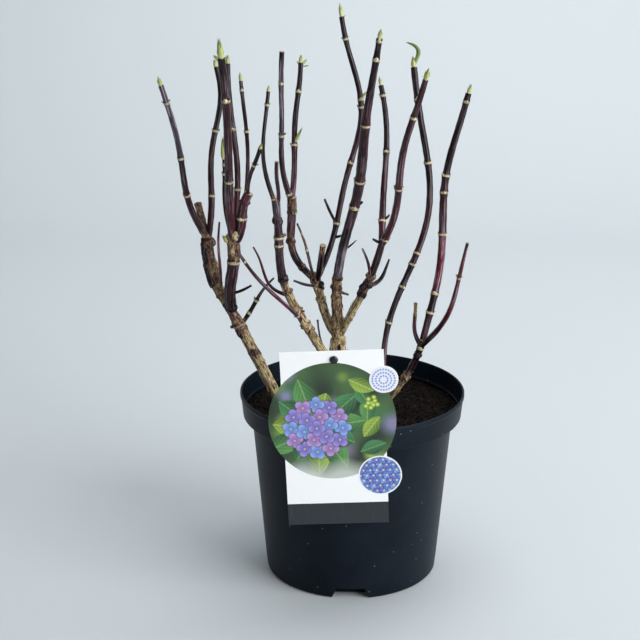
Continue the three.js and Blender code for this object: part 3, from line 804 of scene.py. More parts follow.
worn_ring = nodes.scaled(ring, nodes.ramp(patch, (0.25, 0.35), (0.5, 0.9)))
worn_ring = nodes.scaled(worn_ring, nodes.scaled(age, -0.7, 1.0))
matt = nodes.calc("MAXIMUM", age, nodes.calc("MAXIMUM", ring, cut))
relief = nodes.scaled(grain["Pore"], 0.25, nodes.scaled(grain["Fibre"], 0.5, streak))
nodes.surface({
    "Base Color": nodes.mix(young, (age, old), (worn_ring, "#c9bf9f"), (cut, "#ab9a78")),
    "Roughness": nodes.scaled(matt, 0.45, nodes.scaled(streak, 0.22, 0.24)),
    "Specular IOR Level": 0.12, "Coat Weight": nodes.scaled(matt, -0.22, 0.22), "Coat Roughness": 0.14,
}, relief, 0.25, 0.7)


def grow_group(limbs):
    """One swept piece for each limb of a group, in place of the limb's own node."""
    for name, row in limbs.items():
        strands = Strands()
        grow_limb(name, row, strands)
        base = strands.as_object("strands")
        piece = cane.grow(name + "_wood", base, Sides=24 if max(row["thick"]) > 5 else 16,
                          Fissure_width=FISSURE_WIDTH * MM, Fissure_length=FISSURE_LENGTH * MM,
                          Seed=len(grown), Material=cane_skin)
        bpy.data.objects.remove(base)
        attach(piece, "root")
        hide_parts(name)


grow_group(LEFT_LIMBS)

# TRUNK, ITS BOUGHS AND THEIR SHOOTS
# The real trunk is the thickest wood, tan, cracked and scaly. It forks low into three boughs and the
# tallest shoot, each of which was cut back once and then grew last year's dark canes from its top.

MIDDLE_LIMBS = dict(
    trunk=dict(
        foot=(-11, 5), tip=(-16, 2, 314), waves=(0, 1), thick=(18, 14, 9), rings=(96,),
        spurs=[(136, (12, -2, -5), 3, "umber")], skins="0 tan 90 tan 106 brown"),
    middle_bough_left=dict(
        on=("trunk", 0.28), tip=(-76, -22, 398), waves=(-19, 1, 1, -1), bow=-4, thick=(10, 9, 8),
        rings=(70, 162, 170), spurs=[(170, (7, -2, 4), 4, "brown"), (88, (7, -3, 1), 3, "umber")],
        skins="0 tan 116 tan 120 black 134 plum 163 plum 184 grey"),
    middle_bough_fork=dict(
        on=("trunk", 0.56), tip=(-38, 14, 308), waves=(-4, -1), bow=4, thick=(10, 9, 9),
        spurs=[(58, (-24, -8, 8), 3, "black")], skins="0 tan 48 tan 58 brown"),
    middle_bough_right=dict(
        on=("trunk", 0.56), tip=(29, -30, 360), waves=(3, -1), bow=-4, thick=(8, 8, 7),
        spurs=[(122, (-9, -4, 5), 3, "black")], skins="0 tan 46 tan 58 umber 78 black 92 plum"),
    middle_shoot_front=dict(
        on=("trunk", 0.97), tip=(24, -84, 573), waves=(3, 1, -1, -1), bow=-8, thick=(9, 10, 5),
        rings=(93, 123, 183, 249, 267), bud=(13, 5),
        spurs=[(93, (8, 0, 5), 3, "black"), (38, (14, -4, 12), 2, "black")],
        skins="0 umber 5 grey 44 black 70 plum 190 plum 215 black"),
    middle_shoot_thin=dict(
        on=("middle_bough_left", 0.97), tip=(-85, 48, 500), waves=(-10, -2), bow=12, thick=(5, 4, 4),
        rings=(111,), bud=(9, 4), skins="0 brown 10 black"),
    middle_stub_thin=dict(
        on=("middle_bough_left", 0.94), tip=(-74, -28, 437), waves=(1, 1), thick=(4, 4, 4),
        skins="0 brown 10 plum"),
    middle_bough_inner=dict(
        on=("middle_bough_fork", 0.96), tip=(-62, 26, 389), waves=(-14, -3), bow=8, thick=(7, 8, 10),
        skins="0 umber 8 black 40 umber 56 wine 84 umber"),
    middle_shoot_cut=dict(
        on=("middle_bough_inner", 0.95), tip=(-69, -12, 540), waves=(-6, -2, -1), bow=-6, thick=(6, 5, 5),
        rings=(10, 77, 131), skins="0 wine 16 plum 66 grey 136 grey 154 black"),
    middle_shoot_rear=dict(
        on=("middle_bough_inner", 0.96), tip=(-55, 104, 523), waves=(-1, 0, 1), bow=14, thick=(6, 6, 5),
        rings=(62, 120), bud=(12, 5), spurs=[(64, (8, -2, 18), 4, "bud"), (146, (9, -3, 2), 2, "bud")],
        skins="0 wine 40 plum 70 black"),
    middle_shoot_tall=dict(
        on=("middle_bough_fork", 0.95), tip=(-15, 76, 579), waves=(28, -2, -1, 3), bow=10, thick=(6, 6, 5),
        rings=(62, 125, 182, 190, 252), bud=(18, 5),
        spurs=[(62, (-12, -6, 27), 3, "black"), (48, (9, -4, 3), 3, "black"), (190, (6, -2, 9), 3, "bud")],
        skins="0 brown 14 black 70 plum 180 plum 200 black"),
    middle_stub_fork=dict(
        on=("middle_bough_fork", 0.9), tip=(-30, -6, 348), thick=(6, 6, 6),
        skins="0 black 30 black 39 brown"),
    middle_twig_scaly=dict(
        on=("middle_bough_fork", 0.86), tip=(-55, -18, 373), waves=(1, -1), bow=-6, thick=(3, 3, 2),
        rings=(53,), skins="0 umber 14 black 34 wine 58 umber"),
    middle_shoot_upright=dict(
        on=("middle_bough_right", 0.97), tip=(24, 42, 511), waves=(6, -2), bow=10, thick=(7, 6, 5),
        rings=(23, 94, 150), bud=(13, 4), spurs=[(24, (7, -2, 6), 3, "umber")],
        skins="0 wine 26 plum 90 black"),
    middle_shoot_leaning=dict(
        on=("middle_bough_right", 0.95), tip=(67, -104, 541), waves=(-1, 3, 2), bow=-12, thick=(7, 7, 5),
        rings=(11, 78, 156), bud=(15, 6), skins="0 wine 70 wine 120 plum"),
    middle_twig_upper=dict(
        on=("middle_bough_right", 0.65), tip=(9, -52, 357), waves=(2,), thick=(3, 3, 2),
        skins="0 umber 8 wine 34 grey"),
    middle_twig_lower=dict(
        on=("middle_bough_right", 0.57), tip=(36, -10, 335), waves=(6, 1), thick=(5, 4, 2),
        skins="0 umber 6 black 36 grey"),
    red_twig_long=dict(
        on=("middle_bough_left", 0.35), tip=(-110, -58, 354), waves=(-2, 1), bow=-6, thick=(4, 4, 3),
        rings=(14, 106), skins="0 black 6 wine 30 crimson 60 wine 86 plum"),
    red_twig_short=dict(
        on=("middle_bough_left", 0.51), tip=(-101, 22, 338), waves=(-9, -3), bow=4, thick=(4, 3, 2),
        skins="0 black 14 wine 30 crimson"),
    trunk_twig=dict(
        on=("middle_bough_left", 0.13), tip=(-36, 12, 267), waves=(-2,), thick=(3, 2, 2), bud=(4, 3),
        skins="0 tan 12 grey"),
)
grow_group(MIDDLE_LIMBS)

# REAR STEM
# A single cane from the soil at the back of the pot, long and curved, the straightest grower of the
# plant: plum at its foot and black above, with a fresh leaf uncurling at its tip.

REAR_LIMBS = dict(
    rear_stem=dict(
        foot=(36, 55), tip=(61, 136, 517), waves=(21, -10, -7), bow=6, thick=(6, 7, 7),
        rings=(80, 121, 147, 160, 257, 325), bud=(15, 6), spurs=[(364, (-11, -3, 17), 3, "leaf")],
        skins="0 wine 60 plum 80 black 150 plum 230 black"),
)
grow_group(REAR_LIMBS)

# RIGHT STEM AND ITS SHOOTS
# A thinner old stem at the right, tan and peeling at its foot and dark above, that carries a thick
# cane, red below and black above, a thin crimson one, and a short dead stub with a tan tip.

RIGHT_LIMBS = dict(
    right_stem=dict(
        foot=(27, 7), tip=(71, -14, 252), waves=(4, -1), bow=-2, thick=(6, 7, 7), rings=(57, 92),
        spurs=[(56, (4, -2, 15), 3, "tan")], skins="0 tan 36 tan 46 brown 62 black"),
    right_shoot_outer=dict(
        on=("right_stem", 0.96), tip=(115, 26, 506), waves=(-2, 5, 1, -1), bow=8, thick=(7, 8, 6),
        rings=(32, 52, 112, 154, 171, 246), bud=(13, 5),
        skins="0 plum 30 black 54 crimson 100 crimson 116 plum 170 black"),
    right_shoot_crimson=dict(
        on=("right_stem", 0.93), tip=(106, -100, 376), waves=(9, 2), bow=-10, thick=(6, 5, 3),
        rings=(122,), skins="0 black 22 wine 60 crimson 150 crimson 158 black"),
    right_stub=dict(
        on=("right_stem", 0.93), tip=(64, 12, 283), waves=(-4, -1), thick=(5, 4, 4),
        skins="0 wine 26 wine 32 tan"),
)
grow_group(RIGHT_LIMBS)

# SCAR RINGS AND NODE BUDS
# At each node the two fallen leaves leave a raised cream scar that rings the cane, highest under the
# pair of small resting buds, and each pair stands a quarter turn round from the pair below it.

SCAR_SIDES = 40
SCAR_SECTION = ((0.90, -1.0), (1.03, -0.8), (1.10, -0.15), (1.09, 0.35), (1.02, 0.85), (0.90, 1.0))
SCAR_HEIGHT = (0.35, 0.85)
SCAR_FIT = 0.95
# The limb and ring of each scar that faces the front
FACING_SCARS = (("left_shoot_front", 160), ("middle_shoot_front", 249), ("middle_shoot_front", 93))
FACING_SCAR_HEIGHT = 1.1
NODE_BUD_LENGTH = (1.6, 3.4)
NODE_BUD_WIDTH = 0.55  # to its length
NODE_BUD_LEAN = 0.8
NODE_BUD_SIDES = 10
NODE_BUD_PAIRS = ((0.9, 1.0, 0.0, 0.0),)  # a pair of scales: length, half angle, flare and turn
BUD_ROWS = 14
BUD_CORE = 0.92
SCALE_ACROSS = 8
BUD_SHARP_ANGLE = 50

# Sets copies of one small source mesh at points: its Z along "aim", spun by "spin", scaled by "size"
setter = Growth("set_out", Source="Object", Uneven="Float", Material="Material")
given = setter.given
aim = setter.named("aim", "FLOAT_VECTOR")
set_up = setter.add("FunctionNodeAlignRotationToVector", {"Vector": aim}, axis="Z")
spun = setter.add("FunctionNodeAxisAngleToRotation", {"Axis": (0.0, 0.0, 1.0), "Angle": setter.named("spin")})
copies = setter.add("GeometryNodeInstanceOnPoints", {
    "Points": setter.add("GeometryNodeMeshToPoints", {"Mesh": given["Geometry"]}),
    "Instance": setter.add("GeometryNodeObjectInfo", {"Object": given["Source"]}, "Geometry",
                           transform_space="ORIGINAL"),
    "Rotation": setter.add("FunctionNodeRotateRotation", {"Rotation": set_up, "Rotate By": spun},
                           rotation_space="LOCAL"),
    "Scale": setter.named("size", "FLOAT_VECTOR")})
grained = setter.store(setter.real(copies), "grain", setter.add("GeometryNodeInputPosition"), "FLOAT_VECTOR")
setter.coated(setter.roughened(grained, 700.0, given["Uneven"]))


def set_out(name, source, places, material, uneven=0.0, **looks):
    """Joined copies of a source mesh at (place, aim, size, spin) in mm, with more values for their look."""
    spots, aims, sizes, spins = [np.array(column, float) for column in zip(*places)]
    mesh = bpy.data.meshes.new(name)
    mesh.from_pydata((spots * MM).tolist(), [], [])
    mark(mesh, "aim", aims, "FLOAT_VECTOR")
    mark(mesh, "size", sizes * MM, "FLOAT_VECTOR")
    mark(mesh, "spin", spins)
    for label, values in looks.items():
        mark(mesh, label, np.broadcast_to(values, len(places)))
    base = new_object("places", mesh)
    piece = setter.grow(name, base, Source=source, Uneven=uneven * MM, Material=material)
    bpy.data.objects.remove(base)
    bpy.data.objects.remove(source)
    shade_by_angle(piece, BUD_SHARP_ANGLE)
    return piece


def scar_source():
    """A ring of radius 1 round Z, raised and deepened into a crescent scar on each side along X."""
    count = len(SCAR_SECTION)
    vertices, faces, crescent = [], [], []
    for k in range(SCAR_SIDES):
        turn = math.tau * k / SCAR_SIDES
        side = abs(math.cos(turn)) ** 5
        for radius, height in SCAR_SECTION:
            reach = radius - 0.05 + (radius - 0.85) * 0.6 * side
            z = height * (0.32 + 2.1 * side) + 0.9 * side
            vertices.append((reach * math.cos(turn), reach * math.sin(turn), z))
            crescent.append(side)
        faces += flipped(band(k * count, (k + 1) % SCAR_SIDES * count, count))
    ring = mesh_object("scar_source", vertices, faces)
    mark(ring.data, "crescent", crescent)
    return ring


def sheet_grid(rows, across):
    """Where the points of a thin closed sheet lie: on its inner or outer side, up it, and across it."""
    return [(outer, j / rows, 2 * k / across - 1)
            for outer in (0, 1) for j in range(rows + 1) for k in range(across + 1)]


def sheet_faces(rows, across, start=0):
    """The faces of such a sheet: its two sides and its rim."""
    wide = across + 1
    thick = (rows + 1) * wide
    faces = []
    for low in range(start, start + rows * wide, wide):
        for a in range(low, low + across):
            b, c, d = a + 1, a + wide + 1, a + wide
            faces += [(a, d, c, b), (thick + a, thick + b, thick + c, thick + d)]
        high, last = low + wide, low + across
        faces += [(low, thick + low, thick + high, high)]
        faces += [(last, last + wide, thick + last + wide, thick + last)]
    for k in range(start, start + across):
        end = k + rows * wide
        faces += [(k, k + 1, thick + k + 1, thick + k), (end, thick + end, thick + end + 1, end + 1)]
    return faces


def bud_source(pairs, sides=18):
    """A bud of length 1 and width 1 along Z: a closed core under pairs of pointed, overlapping scales."""
    def half_width(z):
        return 0.38 * max(math.sin(math.pi * min(1.0, 0.14 + 0.86 * z**0.75)), 0.0) ** 0.8

    vertices, faces, leafy, edge = [], [], [], []
    for z in np.arange(BUD_ROWS + 1) / BUD_ROWS:
        vertices += circle(BUD_CORE * half_width(z) * (z < 1) + 0.004, z * 0.97, sides)
        leafy += [0.35 + 0.65 * z] * sides
        edge += [0.0] * sides
    top = BUD_ROWS * sides
    for low in range(0, top, sides):
        faces += band(low, low + sides, sides)
    faces += [tuple(reversed(range(sides))), tuple(range(top, top + sides))]
    for number, (length, spread, flare, first_turn) in enumerate(pairs):
        layer = 1.0 + 0.07 * (len(pairs) - number)
        for side in (0, math.pi):
            faces += sheet_faces(BUD_ROWS, SCALE_ACROSS, len(vertices))
            for outer, u, v in sheet_grid(BUD_ROWS, SCALE_ACROSS):
                skin = (0.03 + 0.035 * (1 - abs(v))) * outer
                radius = half_width(min(u * length, 1.0)) * layer + flare * u**2.2 + skin
                turn = first_turn + side + (spread * (1 - u**2.4) + 0.02) * v
                z = u * length + 0.02 * number
                vertices.append((radius * math.cos(turn), radius * math.sin(turn), z))
                leafy.append(u * length)
                edge.append(abs(v))
    bud = mesh_object("bud_source", vertices, faces)
    mark(bud.data, "leafy", leafy)
    mark(bud.data, "edge", edge)
    return bud


def across_way(way, turn):
    """A direction square to a cane's way, turned round it from the right as seen from the front."""
    right = unit(np.cross((0.0, 1.0, 0.0), way))
    return right * math.cos(turn) + np.cross(way, right) * math.sin(turn)


scar_skin, nodes = new_material("leaf_scar")
mottle = nodes.noise(nodes.own_place(), 420.0, 4.0)
cream = nodes.ramp(mottle, (0.36, "#7a6c50"), (0.46, "#b7ab84"), (0.6, "#d8cfab"))
weathered = nodes.ramp(mottle, (0.40, "#2f221a"), (0.52, "#6d5642"), (0.62, "#9f8a6c"))
scar_colour = nodes.mix(
    nodes.ramp(mottle, (0.46, "#2c1d18"), (0.53, "#7a6a52"), (0.60, "#cdc2a4")),
    (nodes.ramp(nodes.look("crescent"), (0.15, 0.0), (0.5, 1.0)), cream),
    (nodes.look("worn"), weathered),
)
nodes.surface({"Base Color": scar_colour, "Roughness": 0.7}, mottle, 0.2, 0.6)

bud_skin, nodes = new_material("bud_green")
leafy, edge, tint, unfurled = [nodes.look(label) for label in ("leafy", "edge", "tint", "unfurled")]
mottle = nodes.noise(nodes.own_place(), 300.0, 3.0)
green = nodes.ramp(
    leafy, (0.0, "#d6d0ae"), (0.14, "#c8ca8c"), (0.5, "#a2ae60"), (0.85, "#808c4a"), (1.0, "#4c4b30"))
bud_colour = nodes.mix(
    green,
    (nodes.calc("POWER", edge, 6.0), "#cdcf98"),
    (nodes.ramp(unfurled, (0.35, 0.0), (0.60, 0.9)), "#46632f"),
    (tint, nodes.ramp(leafy, (0.0, "#5a4630"), (0.5, "#33241c"), (1.0, "#1d1413"))),
    (nodes.scaled(mottle, 0.3), "#5d7430"),
)
nodes.surface({"Base Color": bud_colour, "Roughness": 0.42, "Subsurface Weight": 0.08,
               "Subsurface Radius": (0.002, 0.002, 0.0008)}, mottle, 0.15, 0.5)

facing = [grown[name].at(ring) for name, ring in FACING_SCARS]
scar_places, scar_wear, small_places, small_tints = [], [], [], []
for number, (place, way, half, worn) in enumerate(node_places):
    turn = (number % 2) * math.pi / 2 + chance.uniform(-0.3, 0.3)
    tall = chance.uniform(*SCAR_HEIGHT)
    if min(math.dist(place, spot) for spot in facing) < 1:
        turn, tall = math.pi / 2, FACING_SCAR_HEIGHT
    lean = across_way(way, chance.uniform(0, math.tau)) * chance.uniform(0.05, 0.3)
    scar_places.append((place, way + lean, (half * SCAR_FIT, half * SCAR_FIT, tall), turn))
    scar_wear.append(worn)
    for side in (0, math.pi):
        out = across_way(way, turn + side)
        long = chance.uniform(*NODE_BUD_LENGTH)
        wide = long * NODE_BUD_WIDTH
        foot = place + out * half * 0.8 + way * 0.8
        small_places.append((foot, way + out * NODE_BUD_LEAN, (wide, wide, long), turn))
        small_tints.append(chance.choice((0.0, 0.35, 0.9), p=(0.35, 0.3, 0.35)))

scars = set_out("scar_rings", scar_source(), scar_places, scar_skin, uneven=0.5, worn=scar_wear)
node_buds = set_out("node_buds", bud_source(NODE_BUD_PAIRS, NODE_BUD_SIDES), small_places, bud_skin,
                    tint=small_tints)

# END BUDS AND THE OPEN LEAF
# Each shoot that was not cut ends in a pointed bud of pale green scales in crossed pairs, some just
# loosening. A few have short side leaflets at their foot, and one shoot has a narrow curled leaf.

SIDE_LEAFLETS = dict(  # on a limb: side and length of each leaflet at its bud's foot
    left_shoot_front=((-1, 8), (1, 5), (-1, 4)),
    middle_shoot_rear=((-1, 4), (1, 7)),
    middle_shoot_tall=((1, 4),),
)
SPROUTS = (  # limb, mm from its foot, side and length of a fresh bud at a node of old wood
    ("left_bough_inner", 80, -1, 9), ("middle_bough_right", 124, 1, 8), ("middle_bough_inner", 78, 1, 5),
)
DEAD_BUD_LENGTH = 6  # a bud shorter than this has dried black
BUD_PAIRS = ((0.40, 1.35, 0.05, 0.0), (0.72, 1.15, 0.04, math.pi / 2), (0.97, 0.95, 0.02, 0.0))
BUD_FIT = 0.88
LEAFLET_SHAPE = np.array((0.42, 0.3, 1))  # to its length
SPROUT_SHAPE = np.array((0.5, 0.45, 1))
LEAF_RIB = (
    (-0.5, -1, -9), (1.5, -1.5, -2), (4.5, -2, 6), (5.5, -2.5, 11),
    (3, -2.5, 16), (-3, -2, 19), (-9, -1, 20.5),
)
LEAF_WIDTH = 4.2
LEAF_THICKNESS = 0.4
LEAF_ROWS = 36
LEAF_ACROSS = 6

end_places, end_tints = [], []
for foot, way, length, width in bud_places:
    end_places.append((foot, way, (width * BUD_FIT, width * BUD_FIT, length), chance.uniform(0, math.tau)))
    end_tints.append(1.0 if length < DEAD_BUD_LENGTH else chance.uniform(0.0, 0.12))
for name, leaflets in SIDE_LEAFLETS.items():
    foot_at = grown[name].length - {**LEFT_LIMBS, **MIDDLE_LIMBS}[name]["bud"][0]
    way = grown[name].way(foot_at)
    for side, size in leaflets:
        out = across_way(way, 0) * side
        foot = grown[name].at(foot_at) + out * 1.6
        end_places.append((foot, way + out * 0.9, size * LEAFLET_SHAPE, 0.0))
        end_tints.append(0.0)
for name, distance, side, size in SPROUTS:
    way, half = grown[name].way(distance), grown[name].half(distance)
    out = across_way(way, 0) * side
    foot = grown[name].at(distance) + out * half * 0.7 - np.array((0, half * 0.5, 0))
    end_places.append((foot, way + out * 0.5, size * SPROUT_SHAPE, 0.0))
    end_tints.append(0.0)
end_buds = set_out("end_buds", bud_source(BUD_PAIRS), end_places, bud_skin, tint=end_tints)


def curled_leaf(foot):
    """A narrow young leaf, folded along its rib, that rises from its bud and curls over to one side."""
    stops = np.linspace(0, 1, len(LEAF_RIB))

    def rib(t):
        return np.array([np.interp(t, stops, column) for column in np.array(LEAF_RIB).T])

    vertices, leafy, edge = [], [], []
    for outer, t, v in sheet_grid(LEAF_ROWS, LEAF_ACROSS):
        behind, here, ahead = rib(t - 0.08), rib(t), rib(t + 0.08)
        aside = unit(np.cross(unit(ahead - behind), (0, 1, 0)))
        wide = LEAF_WIDTH / 2 * (math.sin(math.pi * min(0.1 + 0.9 * t, 1)) ** 0.8 + 0.03)
        lift = np.array((0, abs(v) * wide * 0.5 + LEAF_THICKNESS * outer, 0))
        vertices.append((foot + (ahead + here + behind) / 3 + aside * v * wide + lift) * MM)
        leafy.append(0.35 + 0.5 * t)
        edge.append(abs(v))
    leaf = mesh_object("open_leaf", vertices, sheet_faces(LEAF_ROWS, LEAF_ACROSS), turn_outward=True)
    for label, values in (("leafy", leafy), ("edge", edge), ("tint", [0] * len(leafy)), ("unfurled", leafy)):
        mark(leaf.data, label, values)
    coat(leaf, bud_skin)
    return leaf


open_leaf = curled_leaf(leaf_feet[0])

# KNOTS AND PEELING BARK
# Where old wood was cut or forked it has swollen into rough knots, and its thin outer skin lifts in
# narrow papery strips. Both are wood of the limb itself.
# A few small black knots are painted shade: dark spots that stand for a hole or a cleft in the wood.

# On a limb: mm from its foot, width and length, skin, and how far aside and to the back the knot sits
KNOTS = dict(
    left_stem=[(78, 7.5, 9, "umber", 1.0, -4.0), (79, 4, 5, "black", 0.6, -6.6), (104, 12.5, 11, "umber"),
        (99, 6, 12, "black", -3.5, -3.5), (113, 12.5, 9, "brown")],
    # The two long black knots lie along the left side of this bough and darken it there
    left_bough_outer=[(22, 11, 9, "umber"), (34, 12, 8, "brown"), (44, 6, 30, "black", -4.2, -3.0),
        (52, 13.5, 18, "brown", 1.0, 0.0), (68, 7, 28, "black", -3.6, -3.4), (76, 14, 14, "umber")],
    left_stub_far=[(28, 8.5, 8, "umber")],
    left_bough_inner=[(6, 13.5, 12, "black"), (71, 12.5, 24, "brown", 0.5, -2.0),
        (73, 8, 22, "umber", 3.5, -4.0), (87, 7.5, 9, "cream", 4.5, -6.0)],
    left_stub_near=[(50, 10.5, 8, "wine")],
    # Painted shade: the thin long black knot on the trunk stands for a dark cleft
    trunk=[(66, 3, 30, "black", 0.5, -7.0), (66, 12, 34, "tan", -4.5, -1.0), (80, 15.5, 10, "tan"),
        (92, 14, 9, "tan"), (104, 12.5, 9, "brown"), (118, 10.5, 8, "brown"), (128, 10.5, 9, "brown"),
        (138, 11.5, 9, "umber"), (148, 10.5, 8, "brown")],
    middle_bough_left=[(64, 11, 8, "brown"), (88, 10.5, 8, "brown"), (112, 10.5, 9, "umber"),
        (127, 11, 10, "black"), (187, 9.5, 12, "plum")],
    middle_bough_fork=[(68, 11.5, 12, "brown"), (56, 11, 9, "tan"), (44, 10.5, 8, "tan"),
        # Painted shade: the small black knot set aside on this bough stands for a dark hole in the wood
        (60, 6, 8, "black", 4.0, -3.0)],
    middle_bough_right=[(62, 10, 9, "black"), (74, 10.5, 12, "black"), (84, 10, 8, "umber"),
        (70, 6, 9, "black", -3.5, -3.0)],
    middle_bough_inner=[(80, 9.5, 10, "umber"), (20, 8.5, 7, "umber"), (50, 9.5, 9, "umber")],
    middle_shoot_front=[(4, 10.5, 8, "umber")],
    right_stem=[(54, 8.5, 8, "brown"), (84, 8.5, 8, "black")],
)
STRIPS_PER_MM = 0.42
STRIP_LENGTH = (3.0, 9.0)
STRIP_WIDTH = (0.7, 1.7)
STRIP_LIFT = 0.25  # to its length
STRIP_SEAT = 0.93
STRIP_LEAN = 0.08
STRIP_ROWS = 6
STRIP_ACROSS = 2
STRIP_THICKNESS = 0.1


def knot_source():
    def swell(work):
        bmesh.ops.create_icosphere(work, subdivisions=4, radius=0.5)
        for vertex in work.verts:
            x, y, z = vertex.co
            lump = 0.10 * math.sin(9 * x + 4 * z) + 0.09 * math.sin(11 * y - 7 * z + 1)
            vertex.co *= 1 + lump + 0.06 * math.sin(19 * x + 15 * y)

    mesh = bpy.data.meshes.new("knot_source")
    edit(mesh, swell)
    return new_object("knot_source", mesh)


def strip_source():
    """A thin strip of length 1 and width 1 along Z that lifts off at its upper end."""
    vertices = []
    for outer, t, v in sheet_grid(STRIP_ROWS, STRIP_ACROSS):
        lift = 0.30 * t**2 + 0.12 * (1 - v * v) + STRIP_THICKNESS * outer
        vertices.append((v * 0.5 * (1 - 0.75 * t**2), lift, t))
    return mesh_object("strip_source", vertices, flipped(sheet_faces(STRIP_ROWS, STRIP_ACROSS)))


def spin_towards(aim, out):
    """How far a source set along aim has to spin for its own +Y to face out."""
    aim = Vector(aim).normalized()
    rest = Vector((0, 0, 1)).rotation_difference(aim) @ Vector((0, 1, 0))
    out = (Vector(out) - aim * aim.dot(Vector(out))).normalized()
    return math.atan2(rest.cross(out).dot(aim), rest.dot(out))


knot_places, looks = [], []
for name, rows in KNOTS.items():
    for distance, width, long, kind, *aside in rows:
        centre = grown[name].at(distance) + np.array((*aside, 0) if aside else (0, 0, 0))
        way = grown[name].way(distance)
        knot_places.append((centre, way, (width, width, long), chance.uniform(0, math.tau)))
        looks.append((*SKINS["tan" if kind == "cream" else kind], kind == "cream"))
age, red, pale, rough, ring = np.array(looks, float).T
knots = set_out("bark_knots", knot_source(), knot_places, cane_skin, uneven=1.0, age=age, red=red, pale=pale,
                ring=ring, cut=0.0)

strip_places, strip_pale = [], []
for name, row in {**LEFT_LIMBS, **MIDDLE_LIMBS, **RIGHT_LIMBS}.items():
    limb = grown[name]
    age, red, pale, rough = skin_values(row["skins"], limb.lengths)
    for _ in range(round(STRIPS_PER_MM * limb.length)):
        distance = chance.uniform(2, limb.length - 2)
        if np.interp(distance, limb.lengths, age) < 0.9 or name.startswith("red"):
            continue
        way = limb.way(distance)
        out = across_way(way, chance.uniform(0, math.tau))
        place = limb.at(distance) + out * limb.half(distance) * STRIP_SEAT
        if place[2] < SOIL_TOP + 2:
            continue
        rising = chance.random() < 0.5
        aim = (way if rising else -way) + out * STRIP_LEAN
        long = min(chance.uniform(*STRIP_LENGTH), limb.length - distance if rising else distance)
        size = (chance.uniform(*STRIP_WIDTH), long * STRIP_LIFT, long)
        strip_places.append((place, aim, size, spin_towards(aim, out)))
        strip_pale.append(np.interp(distance, limb.lengths, pale) * chance.uniform(0.6, 1.3))
strips = set_out("peeling_bark", strip_source(), strip_places, cane_skin, uneven=0.4, age=1.0, red=0.0,
                 pale=np.clip(strip_pale, 0, 1), ring=0.0, cut=0.0)

for piece, slot in ((scars, "old_bark"), (node_buds, "young_shoot"), (end_buds, "young_shoot"),
                    (open_leaf, "young_shoot"), (knots, "dark_bark"), (strips, "old_bark")):
    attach(piece, "root")

# LABEL CARD
# A die-cut card of stiff white plastic, held upright in front of the pot's lip. Its front is printed: a
# round garden picture, a small blue one, and a dark band at the foot; a round paper sticker is pressed on.

CARD_WIDTH = 98
CARD_HEIGHT = 184
CARD_BACK = -0.3  # depths on the card, in front of the plane of its back in the frame
CARD_FRONT = -0.9
CARD_FOOT_HEIGHT = 94
CARD_FOOT_X = -12
CARD_ROLL = math.radians(2.4)
CARD_TILT = math.radians(4)
CARD_LOBES = ((-2, 111, 61), (48, 153, 14), (42, 52, 21))  # place on the card and radius
CARD_SIDES = 192
FRAME_GAP = 0.3
PEG_X = 2
PEG_Z = 175
PEG_HOLE_RADIUS = 3

PICTURE = (-2, 111, 61.03)
SMALL_PICTURE = (42, 52, 21.03)
STICKER = (48, 153, 13.6)
WHITE_EDGE = 1.5
BAND_HEIGHT = 23
BAND_WRAP = 0.02  # how far the band's ink reaches round the card's edges
FLOWER_HEAD = np.array((-17, 104))  # its middle on the card, and how its florets are spaced
FLORET_RADIUS = 8.6
FLORET_SPACING = 12.5
LEAF_GREENS = (
    ("#2f5a38", "#5f9a52", "#a9c77a"), ("#27482f", "#4b8a56", "#8fb874"), ("#4c6a2e", "#9dba4a", "#cfe08a"),
)
FLORET_BLUES = (("#6d5fae", "#a79be0"), ("#5a78c4", "#9db8ee"), ("#8a63a8", "#c3a2dd"))
SMALL_BLUES = (("#3f62bf", "#7fa0ec"), ("#5478d2", "#a3bcf6"), ("#4a55b0", "#8c92e4"))
SPOT_COLOURS = ("#7fa24a", "#8d7f98", "#3f7d50", "#b9cf5a", "#9b8fc4")

card_foot_y = (POT_HEIGHT - LIP_HEIGHT - CARD_FOOT_HEIGHT) * math.tan(CARD_TILT) - LIP_RADIUS - FRAME_GAP
card_stance = (
    Matrix.Translation((CARD_FOOT_X * MM, card_foot_y * MM, CARD_FOOT_HEIGHT * MM))
    @ Matrix.Rotation(CARD_TILT, 4, "X") @ Matrix.Rotation(-CARD_ROLL, 4, "Y")
)


def disc(name, spot, near, far, sides=CARD_SIDES, rings=1):
    """A closed round plate on the card from depth near to depth far, its near face in rings."""
    x, z, radius = spot
    vertices = [(x * MM, near * MM, z * MM)]
    for ring in range(1, rings + 1):
        points = circle(radius * ring / rings, 0, sides)
        vertices += [((x + aside) * MM, near * MM, (z + up) * MM) for up, aside, _ in points]
    outer = len(vertices) - sides
    vertices += [(vx, far * MM, vz) for vx, _, vz in vertices[outer:]]
    faces = fan(0, 1, sides)
    for low in range(1, outer + 1, sides):
        faces += band(low, low + sides, sides)
    faces.append(tuple(range(outer + sides, outer + 2 * sides)))
    return mesh_object(name, vertices, faces, smooth=False, turn_outward=True)


def slab(name, x_range, y_range, z_range):
    corners = [(x * MM, y * MM, z * MM) for x in x_range for y in y_range for z in z_range]
    faces = [(0, 1, 3, 2), (4, 6, 7, 5), (0, 4, 5, 1), (2, 3, 7, 6), (0, 2, 6, 4), (1, 5, 7, 3)]
    return mesh_object(name, corners, faces, smooth=False)


def shade(code):
    return np.array(linear(code)[:3])


def round_from(middle, reach, degrees):
    """The point at this reach and angle from a middle on the card."""
    turn = math.radians(degrees)
    return middle[0] + reach * math.cos(turn), middle[1] + reach * math.sin(turn)


def lay(ink, cover, colour):
    """Lays a colour over the ink, as thick as cover says."""
    cover = np.clip(cover, 0, 1)[:, None]
    return ink * (1 - cover) + colour * cover


